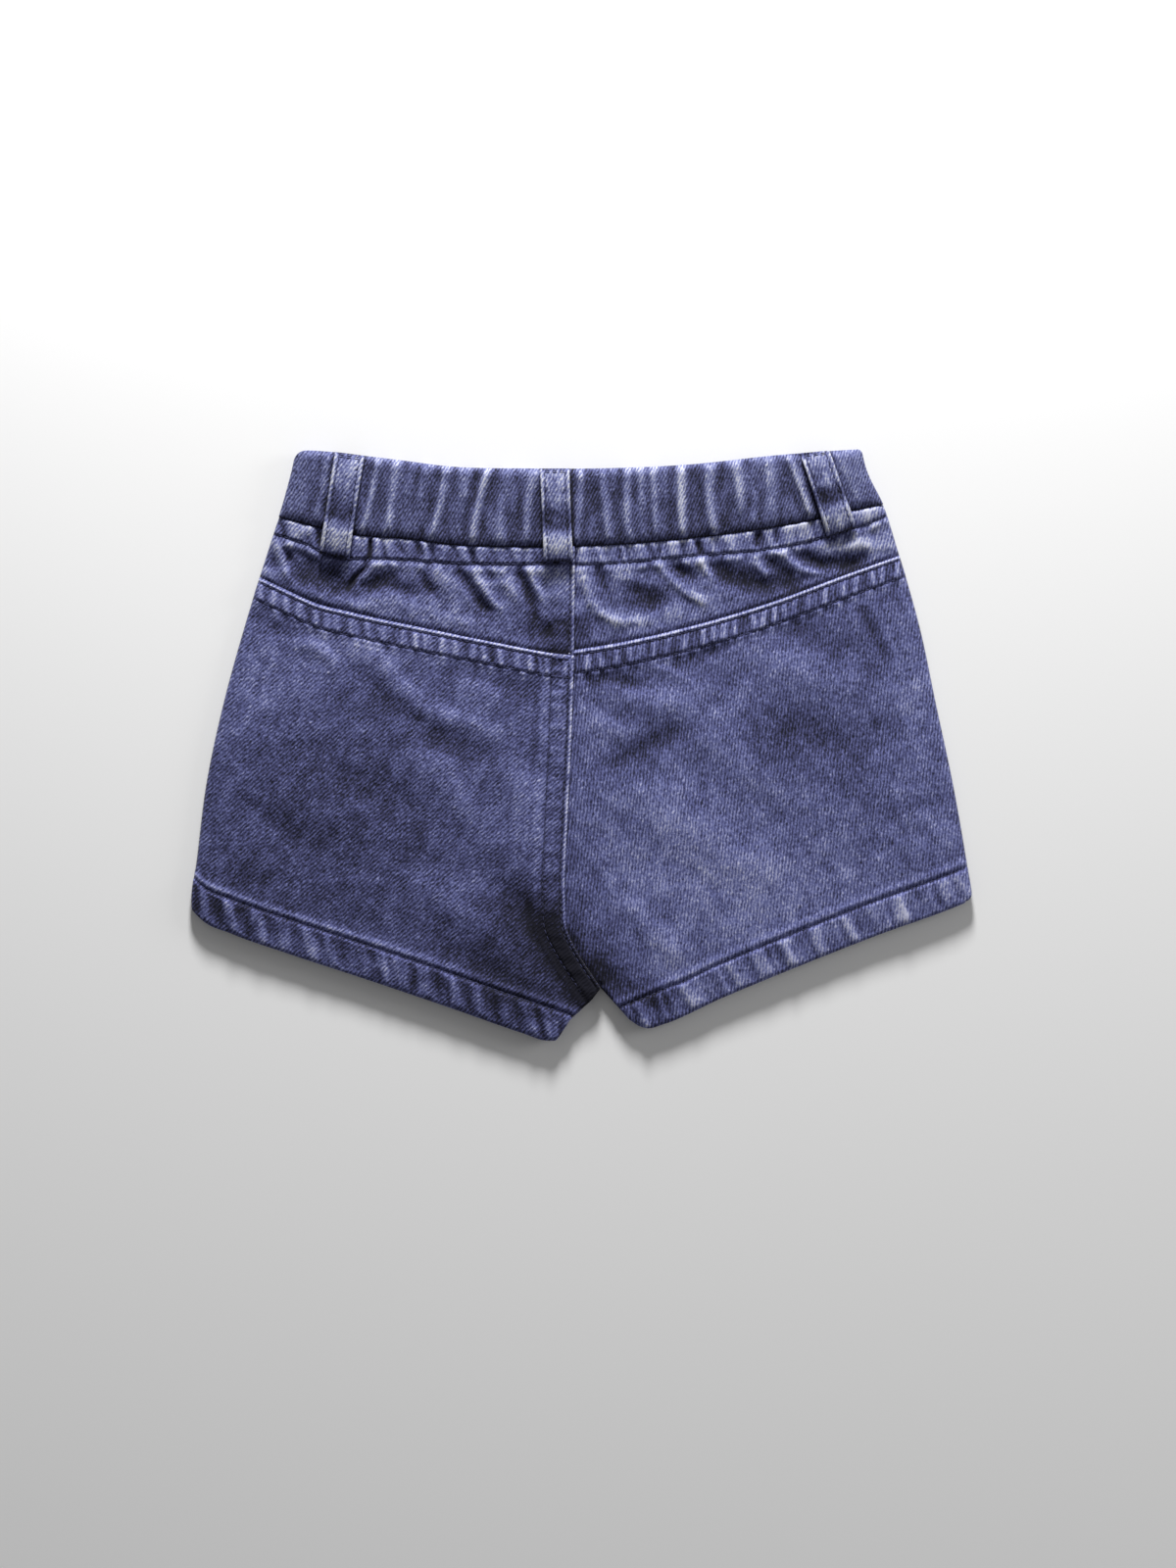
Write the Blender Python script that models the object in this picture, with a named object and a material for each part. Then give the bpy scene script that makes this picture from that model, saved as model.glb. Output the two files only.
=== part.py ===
"""Pull-on denim shorts for a small child, laid flat on their front with the back up.

Lengths are in millimetres until a mesh is made. X runs across the shorts, +Y to the waist, +Z up.
Two back legs, a two-piece yoke and half the gathered waistband lie on the two front legs and the
other half of the waistband. Each piece is a closed wall of cloth, a small gap from its neighbours.
"""

from collections import namedtuple

import bpy
import numpy as np

MM = 0.001
MIDDLE_Y = 0.15  # the tables' height at the middle of the shorts, where the origin is
SEAM_GAP = 0.3  # between pieces that are sewn together
DENIM = 1.4  # one wall of cloth
LAP = 0.8  # how far a lapped seam or a folded hem stands up
HEM_DEPTH = 12.0
STITCHED_BAND = 8.4  # depth of the double row of stitches under the yoke seam
BAND_FRONT = 3.2  # the casing and its elastic, front half
BAND_BACK = 3.6  # the same, back half, between the gathers
BACK_FLOOR = DENIM + SEAM_GAP  # where the back legs would lie with no air under them
BAND_FLOOR = BAND_FRONT + SEAM_GAP
PUFF = 1.9  # air under the middle of a back leg
FRONT_INSET = 0.8  # the front keeps this far inside the back's outline
LOOP_WIDE = 11.0
LOOP_THICK = 1.8
LOOP_BOW = 0.7  # how far a loop stands off the waistband halfway down
LOOP_TUCK = 0.4  # how far below the top edge a loop begins
CENTRE_LAP_X = 5.0  # reach of the raised edge beside the centre back seam
LEG_LENGTH = 140.0
INNER_SHARE = 0.16  # of a leg's length, taken by its inner edge below the crotch

# The side edges, from the hem corners to the waist.
Level = namedtuple("Level", "y left right")
LEVELS = [
    Level(-61.9, -144.9, 145.4),
    Level(-43.3, -143.1, 143.4),
    Level(-14.1, -139.4, 138.3),
    Level(15.1, -133.2, 132.1),
    Level(44.3, -125.2, 125.9),
    Level(73.5, -116.1, 117.5),
    Level(88.1, -111.3, 112.8),
    Level(102.7, -107.3, 105.9),
    Level(109.0, -105.7, 104.2),
]

# The waistband's two edges.
Waist = namedtuple("Waist", "x top seam")
WAIST = [
    Waist(-112.0, 110.0, 84.9),
    Waist(-102.6, 109.7, 82.4),
    Waist(-79.6, 107.5, 78.1),
    Waist(-50.4, 103.8, 75.0),
    Waist(-20.0, 102.9, 73.9),
    Waist(9.9, 103.0, 74.6),
    Waist(39.1, 104.3, 77.0),
    Waist(73.7, 107.9, 81.6),
    Waist(101.8, 109.9, 87.4),
    Waist(113.0, 110.2, 90.0),
]

# The V of the yoke seam, and the hems: each has a row a third or so of the way along.
Seam = namedtuple("Seam", "x y")
YOKE_LEFT = [Seam(-121.0, 62.9), Seam(-99.6, 52.7), Seam(-70.4, 45.8), Seam(-41.2, 40.0), Seam(-2.4, 33.4)]
YOKE_RIGHT = [Seam(-2.4, 35.4), Seam(24.5, 40.3), Seam(53.7, 47.6), Seam(82.9, 57.9), Seam(119.0, 70.8)]
HEM_LEFT = [Seam(-144.9, -62.4), Seam(-130.7, -69.5), Seam(-79.6, -86.7), Seam(-21.2, -107.1), Seam(-9.5, -109.7)]
HEM_RIGHT = [Seam(22.5, -104.9), Seam(51.8, -94.0), Seam(95.6, -76.1), Seam(145.4, -58.4)]

# The centre back seam from the crotch to the waistband, and the inner leg edges below it.
CENTRE = [Seam(7.3, -90.0), Seam(-0.4, -78.3), Seam(-5.2, -68.0), Seam(-5.9, -55.0), Seam(-3.7, 0.2), Seam(-2.2, 80.0)]
INNER_LEFT = [Seam(-9.5, -109.7), Seam(-4.0, -101.7), Seam(4.0, -94.4), Seam(7.3, -90.0)]
INNER_RIGHT = [Seam(22.5, -104.9), Seam(17.9, -101.7), Seam(11.3, -94.4), Seam(7.3, -90.0)]

# Gathers of the waistband: where each runs at the top edge and at the seam, the share of the
# band's depth it covers (0 at the seam, 1 at the top edge), its half width and its height.
Gather = namedtuple("Gather", "top_x seam_x low high wide height")
GATHERS = [
    Gather(-98.0, -104.0, 0.0, 1.0, 4.0, 0.6),
    Gather(-75.9, -81.0, 0.0, 1.0, 3.2, 0.9),
    Gather(-66.5, -70.3, 0.0, 1.0, 3.5, 0.7),
    Gather(-58.8, -61.0, 0.5, 1.0, 3.0, 0.5),
    Gather(-51.5, -56.6, 0.0, 1.0, 4.0, 1.0),
    Gather(-43.1, -45.5, 0.5, 1.0, 3.0, 0.5),
    Gather(-35.0, -40.5, 0.0, 1.0, 4.0, 1.0),
    Gather(-27.7, -27.7, 0.0, 0.5, 2.5, -0.5),
    Gather(-17.5, -20.4, 0.0, 1.0, 3.5, 0.8),
    Gather(-1.1, -1.1, 0.0, 1.0, 4.0, 0.9),
    Gather(8.0, 8.8, 0.0, 1.0, 3.2, 0.8),
    Gather(16.1, 17.9, 0.0, 1.0, 3.5, 0.8),
    Gather(27.7, 28.1, 0.0, 1.0, 3.5, 0.7),
    Gather(35.9, 38.1, 0.0, 1.0, 3.5, 1.2),
    Gather(47.1, 48.9, 0.0, 1.0, 4.5, 1.0),
    Gather(57.7, 59.9, 0.0, 1.0, 4.5, 0.9),
    Gather(68.3, 69.0, 0.0, 1.0, 4.0, 0.5),
    Gather(77.4, 82.9, 0.0, 1.0, 3.5, 1.0),
    Gather(97.0, 104.0, 0.0, 1.0, 4.0, 0.7),
]

# Folds of the yoke and the legs: a soft ridge, or a trough where the height is negative.
Fold = namedtuple("Fold", "x0 y0 x1 y1 wide height")
YOKE_FOLDS = [
    Fold(-107.0, 69.5, -89.0, 59.0, 5.0, -1.2),
    Fold(-78.5, 69.0, -85.0, 58.0, 3.5, 1.0),
    Fold(-72.3, 64.0, -70.0, 58.0, 3.5, -0.7),
    Fold(-55.8, 65.0, -52.0, 57.0, 3.5, -0.7),
    Fold(-41.2, 66.0, -30.3, 49.5, 4.0, 0.9),
    Fold(-19.3, 66.0, -17.5, 54.0, 3.5, 0.6),
    Fold(26.3, 69.5, 39.1, 56.8, 4.0, 0.9),
    Fold(42.7, 69.5, 47.1, 62.0, 3.5, 0.6),
    Fold(68.3, 73.0, 86.5, 66.0, 4.0, 0.9),
    Fold(57.3, 64.5, 86.5, 60.5, 4.5, -0.8),
    Fold(17.2, 55.0, 39.1, 51.5, 4.0, -0.6),
]
LEG_FOLDS = [
    Fold(-79.6, 38.5, -56.0, 13.0, 8.0, 1.2),
    Fold(-56.0, 13.0, -20.0, -14.0, 9.0, 1.2),
    Fold(-74.0, 14.0, -40.0, -8.0, 9.0, -0.8),
    Fold(-125.0, 25.0, -95.0, 30.0, 12.0, 0.8),
    Fold(-100.0, -28.0, -45.0, -35.0, 16.0, -0.8),
    Fold(-27.0, -47.0, 1.0, -80.0, 10.0, -1.3),
    Fold(8.0, 6.0, 32.0, -2.0, 8.0, -0.9),
    Fold(68.0, 7.0, 112.0, -4.0, 9.0, -0.9),
    Fold(25.0, -10.0, 58.0, -52.0, 14.0, 1.2),
    Fold(70.0, 30.0, 100.0, 18.0, 11.0, 0.8),
    Fold(12.0, -66.0, 30.0, -82.0, 9.0, -0.9),
]

# Belt loops: the middle of each end, and how much higher the lower end's right corner is. The
# upper end follows the top edge of the waistband.
Loop = namedtuple("Loop", "name top_x low_x low_y slant")
LOOPS = [
    Loop("belt_loop_left", -85.6, -91.4, 70.8, -3.3),
    Loop("belt_loop_center", -9.8, -8.4, 68.4, 0.0),
    Loop("belt_loop_right", 86.4, 96.5, 79.6, 3.7),
]

# Base colour of each material, red, green and blue.
Dye = namedtuple("Dye", "red green blue")
DYES = {
    "denim_leg": Dye(0.085, 0.095, 0.225),
    "denim_yoke": Dye(0.110, 0.120, 0.260),
    "denim_band": Dye(0.100, 0.108, 0.215),
    "denim_loop": Dye(0.180, 0.190, 0.330),
    "denim_front": Dye(0.075, 0.085, 0.200),
}


def through(rows, at, value):
    """A smooth curve through two columns of a table, straight beyond its ends."""
    xs = np.array([getattr(row, at) for row in rows])
    ys = np.array([getattr(row, value) for row in rows])
    slopes = np.gradient(ys, xs)

    def curve(x):
        inside = np.clip(x, xs[0], xs[-1])
        i = np.clip(np.searchsorted(xs, inside) - 1, 0, len(xs) - 2)
        step = xs[i + 1] - xs[i]
        t = (inside - xs[i]) / step
        start = (1 + 2 * t) * (1 - t) ** 2 * ys[i] + t * (1 - t) ** 2 * step * slopes[i]
        end = t * t * (3 - 2 * t) * ys[i + 1] + t * t * (t - 1) * step * slopes[i + 1]
        beyond = np.where(x < xs[0], slopes[0], slopes[-1]) * (x - inside)
        return start + end + beyond

    return curve


side_left = through(LEVELS, "y", "left")
side_right = through(LEVELS, "y", "right")
waist_top = through(WAIST, "x", "top")
waist_seam = through(WAIST, "x", "seam")
yoke_left = through(YOKE_LEFT, "x", "y")
yoke_right = through(YOKE_RIGHT, "x", "y")
hem_left = through(HEM_LEFT, "x", "y")
hem_right = through(HEM_RIGHT, "x", "y")
centre_back = through(CENTRE, "y", "x")


def roll(gap, reach):
    """A quarter round: 0 at an edge, 1 from reach inwards."""
    t = np.clip(gap / reach, 0, 1)
    return np.sqrt(t * (2 - t))


def ease(t):
    t = np.clip(t, 0, 1)
    return t * t * (3 - 2 * t)


def folds_at(folds, x, y):
    """The sum of the soft ridges and troughs at a point."""
    total = 0 * x
    for fold in folds:
        run = np.array([fold.x1 - fold.x0, fold.y1 - fold.y0])
        length = np.hypot(*run)
        ax, ay = run / length
        along = (x - fold.x0) * ax + (y - fold.y0) * ay
        aside = (x - fold.x0) * ay - (y - fold.y0) * ax
        past = np.maximum(np.maximum(-along, along - length), 0)
        total = total + fold.height * np.exp(-(aside**2 + past**2) / fold.wide**2)
    return total


def gathers_at(x, y):
    depth = (y - waist_seam(x)) / (waist_top(x) - waist_seam(x))
    total = 0 * x
    for gather in GATHERS:
        ridge_x = gather.seam_x + (gather.top_x - gather.seam_x) * depth
        covered = ease((depth - gather.low + 0.1) / 0.2) * ease((gather.high - depth + 0.1) / 0.2)
        total = total + gather.height * covered * np.exp(-(((x - ridge_x) / gather.wide) ** 2))
    return total


def side_gap(x, y):
    return np.minimum(x - side_left(y), side_right(y) - x)


def hem_gap(x, y):
    """How far above the hem a point is, square to the hem."""
    on_left = (y - hem_left(x)) * 0.943
    on_right = (y - hem_right(x)) * 0.93
    return np.where(x < 8, on_left, on_right)


def air(x, y):
    """Air between the front and a back leg or yoke."""
    body = PUFF * roll(side_gap(x, y), 24) * (0.35 + 0.65 * roll(hem_gap(x, y), 30))
    to_band = ease(1 - (waist_seam(x) - y) / 22) * roll(side_gap(x, y), 8)
    return body * (1 - to_band) + (BAND_FLOOR - BACK_FLOOR) * to_band


def leg_under(x, y):
    lift = np.maximum(air(x, y) + folds_at(LEG_FOLDS, x, y) * roll(side_gap(x, y), 15), 0)
    return BACK_FLOOR + lift


def leg_over(laps):
    def over(x, y):
        yoke = yoke_left if laps else yoke_right
        from_yoke = yoke(x) - y
        hem = LAP * ease((HEM_DEPTH + 0.8 - hem_gap(x, y)) / 1.6)
        band = LAP * ease((STITCHED_BAND + 0.8 - from_yoke) / 1.6)
        fell = LAP * laps * ease((CENTRE_LAP_X - (centre_back(y) - x)) / 3)
        edge = 0.5 * (1 - roll(side_gap(x, y), 2.5)) + 0.4 * (1 - roll(hem_gap(x, y), 1.5))
        return leg_under(x, y) + DENIM + np.maximum(np.maximum(hem, band), fell) - edge

    return over


def yoke_under(x, y):
    lift = np.maximum(air(x, y) + folds_at(YOKE_FOLDS, x, y) * roll(side_gap(x, y), 12), 0)
    return BACK_FLOOR + lift


def yoke_over(x, y):
    return yoke_under(x, y) + DENIM - 0.5 * (1 - roll(side_gap(x, y), 2.5))


def band_under(x, y):
    return BAND_FLOOR + 0 * x


def band_over(x, y):
    round_off = roll(waist_top(x) - y, 5) * roll(y - waist_seam(x) + 1.0, 6) * roll(side_gap(x, y), 6)
    return BAND_FLOOR + 1.2 + (BAND_BACK - 1.2) * round_off + gathers_at(x, y) * round_off


def flat(height):
    return lambda x, y: height + 0 * x


def front_band_under(x, y):
    return 0.9 * (1 - roll(np.minimum(waist_top(x) - y, side_gap(x, y)) - FRONT_INSET, 2.5))


def edge(points):
    """A polyline as a function of 0 to 1 by length."""
    points = np.array(points, float)
    lengths = np.hypot(*np.diff(points, axis=0).T)
    reach = np.concatenate([[0], np.cumsum(lengths)]) / lengths.sum()
    return lambda t: np.stack([np.interp(t, reach, points[:, 0]), np.interp(t, reach, points[:, 1])])


def joined(first, then, share):
    """Two polylines as one edge: the first takes a given share of the way."""
    first, then = edge(first), edge(then)

    def both(t):
        t = np.asarray(t)
        early, late = first(np.clip(t / share, 0, 1)), then(np.clip((t - share) / (1 - share), 0, 1))
        return np.where(t < share, early, late)

    return both


def run_x(curve, start, end, lift=0.0, steps=48):
    xs = np.linspace(start, end, steps)
    return [(x, curve(x) + lift) for x in xs]


def run_y(curve, start, end, shift=0.0, steps=48):
    ys = np.linspace(start, end, steps)
    return [(curve(y) + shift, y) for y in ys]


def patch(low, high, first, last):
    """Fills four edges with a smooth grid: low and high run across, first and last run up."""
    low, high, first, last = (side if callable(side) else edge(side) for side in (low, high, first, last))

    def place(u, v):
        corners = (
            (1 - u) * (1 - v) * low(0.0)[:, None, None]
            + u * (1 - v) * low(1.0)[:, None, None]
            + (1 - u) * v * high(0.0)[:, None, None]
            + u * v * high(1.0)[:, None, None]
        )
        return (1 - v) * low(u) + v * high(u) + (1 - u) * first(v) + u * last(v) - corners

    return place


def material(name, dye):
    made = bpy.data.materials.new(name)
    made.use_nodes = True
    shader = made.node_tree.nodes["Principled BSDF"]
    shader.inputs["Base Color"].default_value = (*dye, 1)
    shader.inputs["Roughness"].default_value = 0.9
    made.diffuse_color = (*dye, 1)
    return made


def wall(name, slot, grid, under, over, across, along):
    """A closed wall of cloth: a grid's two faces, joined all round."""
    u, v = np.meshgrid(across, along)
    x, y = grid(u, v)
    rows, columns = u.shape
    below = np.stack([x, y - MIDDLE_Y, under(x, y)], axis=-1).reshape(-1, 3)
    above = np.stack([x, y - MIDDLE_Y, over(x, y)], axis=-1).reshape(-1, 3)
    count = len(below)
    number = np.arange(count).reshape(rows, columns)
    quads = np.stack([number[:-1, :-1], number[:-1, 1:], number[1:, 1:], number[1:, :-1]], axis=-1).reshape(-1, 4)
    ring = np.concatenate([number[0, :-1], number[:-1, -1], number[-1, :0:-1], number[:0:-1, 0]])
    after = np.roll(ring, -1)
    walls = np.stack([ring, after, after + count, ring + count], axis=-1)
    faces = np.concatenate([quads[:, ::-1], quads + count, walls])
    mesh = bpy.data.meshes.new(name)
    mesh.from_pydata((np.concatenate([below, above]) * MM).tolist(), [], faces.tolist())
    mesh.materials.append(bpy.data.materials.get(slot) or material(slot, DYES[slot]))
    mesh.validate()
    made = bpy.data.objects.new(name, mesh)
    bpy.context.scene.collection.objects.link(made)
    return made


def leg_rows(length, steps):
    """Rows up a leg, close together at the hem's stitches and under the yoke seam, one at the crotch."""
    hem = [0, 2.0, HEM_DEPTH - 1, HEM_DEPTH + 1, INNER_SHARE * length]
    top = [STITCHED_BAND + 1, STITCHED_BAND - 1, 0]
    middle = np.linspace(INNER_SHARE * length + 7, length - STITCHED_BAND - 6, steps)
    return np.concatenate([hem, middle, length - np.array(top)]) / length


def eased_ends(steps, first=0.012, last=0.012):
    """Even steps from 0 to 1, with a short one at each end for the rolled edge."""
    return np.concatenate([[0], np.linspace(first, 1 - last, steps), [1]])


def back_legs():
    half = SEAM_GAP / 2
    left_side = run_y(side_left, -62.4, yoke_left(-120.5) - half)
    left = patch(
        run_x(hem_left, -144.9, -9.5),
        run_x(yoke_left, left_side[-1][0], -2.5 - half, -half),
        left_side,
        joined(
            [(p.x, p.y) for p in INNER_LEFT[:-1]] + [(7.3 - half, -90.0)],
            run_y(centre_back, -90.0, 33.4, -half),
            INNER_SHARE,
        ),
    )
    wall("back_left", "denim_leg", left, leg_under, leg_over(1), eased_ends(18), leg_rows(LEG_LENGTH, 12))
    right_side = run_y(side_right, -58.4, yoke_right(118.5) - half)
    right = patch(
        run_x(hem_right, 22.5, 145.4),
        run_x(yoke_right, -2.4 + half, right_side[-1][0], -half),
        joined(
            [(p.x, p.y) for p in INNER_RIGHT[:-1]] + [(7.3 + half, -90.0)],
            run_y(centre_back, -90.0, 35.4 - half, half),
            INNER_SHARE,
        ),
        right_side,
    )
    wall("back_right", "denim_leg", right, leg_under, leg_over(0), eased_ends(18), leg_rows(LEG_LENGTH, 12))


def yokes():
    half = SEAM_GAP / 2
    rows = np.array([0, 0.07, 0.25, 0.45, 0.65, 0.82, 1.0])
    left_side = run_y(side_left, yoke_left(-120.5) + half, waist_seam(-112.5) - half)
    left = patch(
        run_x(yoke_left, left_side[0][0], -2.4 - half, half),
        run_x(waist_seam, left_side[-1][0], -2.2 - half, -half),
        left_side,
        run_y(centre_back, 33.4 + half, waist_seam(-2.2) - half, -half),
    )
    wall("yoke_left", "denim_yoke", left, yoke_under, yoke_over, eased_ends(26), rows)
    right_side = run_y(side_right, yoke_right(118.5) + half, waist_seam(112.3) - half)
    right = patch(
        run_x(yoke_right, -2.4 + half, right_side[0][0], half),
        run_x(waist_seam, -2.2 + half, right_side[-1][0], -half),
        run_y(centre_back, 35.4 + half, waist_seam(-2.2) - half, half),
        right_side,
    )
    wall("yoke_right", "denim_yoke", right, yoke_under, yoke_over, eased_ends(26), rows)


def waistband():
    half = SEAM_GAP / 2
    left_low, right_low = waist_seam(-112.0) + half, waist_seam(112.2) + half
    back = patch(
        run_x(waist_seam, side_left(left_low), side_right(right_low), half),
        run_x(waist_top, side_left(109.3), side_right(110.0)),
        run_y(side_left, left_low, 109.3),
        run_y(side_right, right_low, 110.0),
    )
    rows = np.array([0, 0.1, 0.3, 0.5, 0.7, 0.86, 0.95, 1.0])
    wall("waistband_back", "denim_band", back, band_under, band_over, eased_ends(64, 0.008, 0.008), rows)
    inset = FRONT_INSET
    front = patch(
        run_x(waist_seam, side_left(left_low) + inset, side_right(right_low) - inset, half),
        run_x(waist_top, side_left(109.3) + inset, side_right(110.0) - inset, -inset),
        run_y(side_left, left_low, 109.3 - inset, inset),
        run_y(side_right, right_low, 110.0 - inset, -inset),
    )
    rows = np.array([0, 0.45, 0.9, 0.96, 1.0])
    wall("waistband_front", "denim_band", front, front_band_under, flat(BAND_FRONT), eased_ends(20, 0.01, 0.01), rows)


def front_legs():
    """Plain fronts with one seam between them, a little inside the outline of the back."""
    half, inset = SEAM_GAP / 2, FRONT_INSET
    centre = [(-0.5, 74.0 - half), (-0.5, 20.0), (1.5, -50.0), (7.3, -88.5)]
    left = patch(
        run_x(hem_left, -144.9 + inset, -9.5 + inset, inset),
        run_x(waist_seam, side_left(84.0) + inset, -0.5 - half, -half),
        run_y(side_left, hem_left(-144.9) + inset, waist_seam(-112.5) - half, inset),
        [(p.x, p.y + inset) for p in INNER_LEFT[:-1]] + [(x - half, y) for x, y in centre[::-1]],
    )
    wall("front_left", "denim_front", left, flat(0.0), flat(DENIM), eased_ends(10), np.linspace(0, 1, 13))
    right = patch(
        run_x(hem_right, 22.5 - inset, 145.4 - inset, inset),
        run_x(waist_seam, -0.5 + half, side_right(89.0) - inset, -half),
        [(p.x, p.y + inset) for p in INNER_RIGHT[:-1]] + [(x + half, y) for x, y in centre[::-1]],
        run_y(side_right, hem_right(145.4) + inset, waist_seam(112.3) - half, -inset),
    )
    wall("front_right", "denim_front", right, flat(0.0), flat(DENIM), eased_ends(10), np.linspace(0, 1, 13))


def cloth_top(x, y):
    """The top of whatever lies under a belt loop."""
    return np.where(y > waist_seam(x), band_over(x, y), yoke_over(x, y))


def belt_loops():
    for loop in LOOPS:
        top = np.array([loop.top_x, waist_top(loop.top_x) - LOOP_TUCK])
        run = np.array([loop.low_x, loop.low_y]) - top
        length = np.hypot(*run)
        ahead = run / length
        aside = np.array([-ahead[1], ahead[0]])

        def strip(u, v, loop=loop):
            across = (u - 0.5) * LOOP_WIDE
            top_y = waist_top(loop.top_x + across) - LOOP_TUCK
            low_y = loop.low_y + (u - 0.5) * loop.slant
            return loop.top_x + (loop.low_x - loop.top_x) * v + across, top_y + (low_y - top_y) * v

        stations = np.linspace(0, 1, 13)
        highest = []
        for v in stations:
            u, near = np.meshgrid(np.linspace(0, 1, 9), v + np.linspace(-0.07, 0.07, 9))
            highest.append(cloth_top(*strip(u, near)).max())
        rest = np.array(highest) + SEAM_GAP
        rest[1:-1] += LOOP_BOW * np.sin(np.pi * stations[1:-1])

        def under(x, y, top=top, ahead=ahead, length=length, rest=rest, stations=stations):
            share = ((x - top[0]) * ahead[0] + (y - top[1]) * ahead[1]) / length
            return np.interp(share, stations, rest)

        def over(x, y, under=under, top=top, aside=aside):
            off = np.abs((x - top[0]) * aside[0] + (y - top[1]) * aside[1])
            return under(x, y) + LOOP_THICK - 0.5 * ease((off - LOOP_WIDE / 2 + 0.9) / 0.8)

        wall(loop.name, "denim_loop", strip, under, over, np.array([0, 0.1, 0.5, 0.9, 1.0]), stations[::-1])


for old in list(bpy.data.objects):
    bpy.data.objects.remove(old)
back_legs()
yokes()
waistband()
front_legs()
belt_loops()
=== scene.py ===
"""The look of a small child's pull-on denim shorts, laid flat on their front with the back up.

Lengths are in millimetres until a mesh is made. X runs across, +Y to the waist and +Z up. Every
piece of cloth is a fine shell on the form of its plain solid, with its seams, gathers and folds.
"""

from collections import namedtuple

import bpy
import numpy as np
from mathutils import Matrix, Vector


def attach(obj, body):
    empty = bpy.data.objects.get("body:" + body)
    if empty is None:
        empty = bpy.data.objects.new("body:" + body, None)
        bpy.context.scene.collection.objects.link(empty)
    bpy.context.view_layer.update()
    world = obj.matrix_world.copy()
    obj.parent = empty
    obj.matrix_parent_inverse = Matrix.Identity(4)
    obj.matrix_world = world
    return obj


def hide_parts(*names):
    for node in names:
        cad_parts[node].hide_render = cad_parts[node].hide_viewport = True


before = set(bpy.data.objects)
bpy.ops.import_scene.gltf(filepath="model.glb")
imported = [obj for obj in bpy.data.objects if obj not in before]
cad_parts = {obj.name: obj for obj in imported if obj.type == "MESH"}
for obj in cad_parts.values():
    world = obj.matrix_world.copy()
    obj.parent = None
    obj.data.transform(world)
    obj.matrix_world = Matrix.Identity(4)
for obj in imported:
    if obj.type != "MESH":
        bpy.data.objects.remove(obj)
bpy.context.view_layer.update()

MM = 0.001
MIDDLE_Y = 0.15  # the frame's middle, in the y of the tables below
DENIM = 1.4  # a wall of cloth
SEAM_GAP = 0.3  # between the front and the back
HALF = SEAM_GAP / 2
BACK_FLOOR = DENIM + SEAM_GAP
BAND_FLOOR = 3.5  # where the waistband's back half starts
BAND_RISE = 3.4
THINNEST = 0.3
PUFF = 1.9  # the air in a leg
LAP = 0.7  # how far a lapped edge stands up
TUCKED = 2.0  # how far a piece runs on under the one that laps it
HEM_DEPTH = 12.0
FIRST_ROW = 1.5  # stitches, from a lapped edge
LAP_ROWS = (1.6, 8.2)  # the grooves of both rows of stitches, from a lapped edge
FELL_ROWS = (1.7, 8.3)  # the same at the centre seam
FRONT_SEAM_ROWS = (1.6, 6.5)
LOOP_WIDE = 11.0
STITCH_PITCH = 2.5
STITCH_LONG = 1.8
THREAD = 0.42
INSET = 0.8  # how far the front lies inside the back's outline
BETWEEN_LEGS = 8  # this far across, the left leg ends and the right one starts
# How much of a rise in y is square to a sloping seam, to the waist and to the left and right hems.
SQUARE_YOKE, SQUARE_WAIST, SQUARE_HEMS = 0.965, 0.985, (0.943, 0.93)

Level = namedtuple("Level", "y left right")
LEVELS = [Level(*row) for row in [
    (-66, -144.3, 145.8), (-56, -144.9, 145.3), (-43.3, -143.1, 143.4), (-14.1, -139.4, 138.3),
    (15.1, -133.2, 132.1), (44.3, -125.2, 125.9), (73.5, -116.1, 117.5), (88.1, -111.3, 112.8),
    (102.7, -107.3, 105.9), (109, -105.7, 104.2),
]]
Waist = namedtuple("Waist", "x top seam stitch")
WAIST = [Waist(*row) for row in [
    (-114, 110, 85.5, 78.6), (-103, 109.7, 82.6, 75), (-91, 108.9, 79.6, 69.6),
    (-79.6, 107.5, 77.9, 69.4), (-65, 105.7, 76.9, 69), (-50.4, 103.8, 75, 67.8),
    (-20, 102.9, 73.9, 67.3), (9.9, 103, 74.6, 67.5), (39.1, 104.3, 77, 70.3),
    (73.7, 107.9, 81.6, 73.6), (90, 109.2, 84.8, 77.2), (101.8, 109.9, 87.6, 80.8),
    (114, 110.2, 90, 85.6),
]]
Seam = namedtuple("Seam", "x y")
YOKE_LEFT = [Seam(*row) for row in [
    (-121, 62.9), (-106.9, 56.2), (-99.6, 52.9), (-85, 49.1), (-55.8, 42.9), (-26.6, 37.1), (-12, 34.4),
    (-2, 33.3),
]]
YOKE_RIGHT = [Seam(*row) for row in [
    (-4, 34.9), (9.9, 37.1), (39.1, 43.6), (68.3, 52.2), (97.5, 63), (119, 70.8),
]]
HEM_LEFT = [Seam(*row) for row in [
    (-144.9, -61), (-140.5, -65.2), (-130.7, -69.6), (-108.8, -77.3), (-79.6, -86.9), (-50.4, -96.8),
    (-21.2, -107), (-13.5, -109.5), (-9.5, -109.6),
]]
HEM_RIGHT = [Seam(*row) for row in [
    (21.6, -104.3), (25, -105), (30, -103.7), (51.8, -94), (81, -81.9), (110.2, -70.4), (139.4, -59.8),
    (145.6, -57.2),
]]
CENTRE = [Seam(*row) for row in [
    (7.3, -90), (-0.4, -78.3), (-5, -69), (-5.9, -58), (-5.1, -29), (-3.7, 0.2), (-2.6, 36.7),
    (-2.2, 80),
]]
INNER_LEFT = [Seam(*row) for row in [(-9.5, -109.6), (-8, -107.8), (-4, -101.7), (4, -94.4), (7.3, -90)]]
INNER_RIGHT = [Seam(*row) for row in [(21.6, -104.3), (17.9, -101.7), (11.3, -94.4), (7.3, -90)]]
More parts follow.
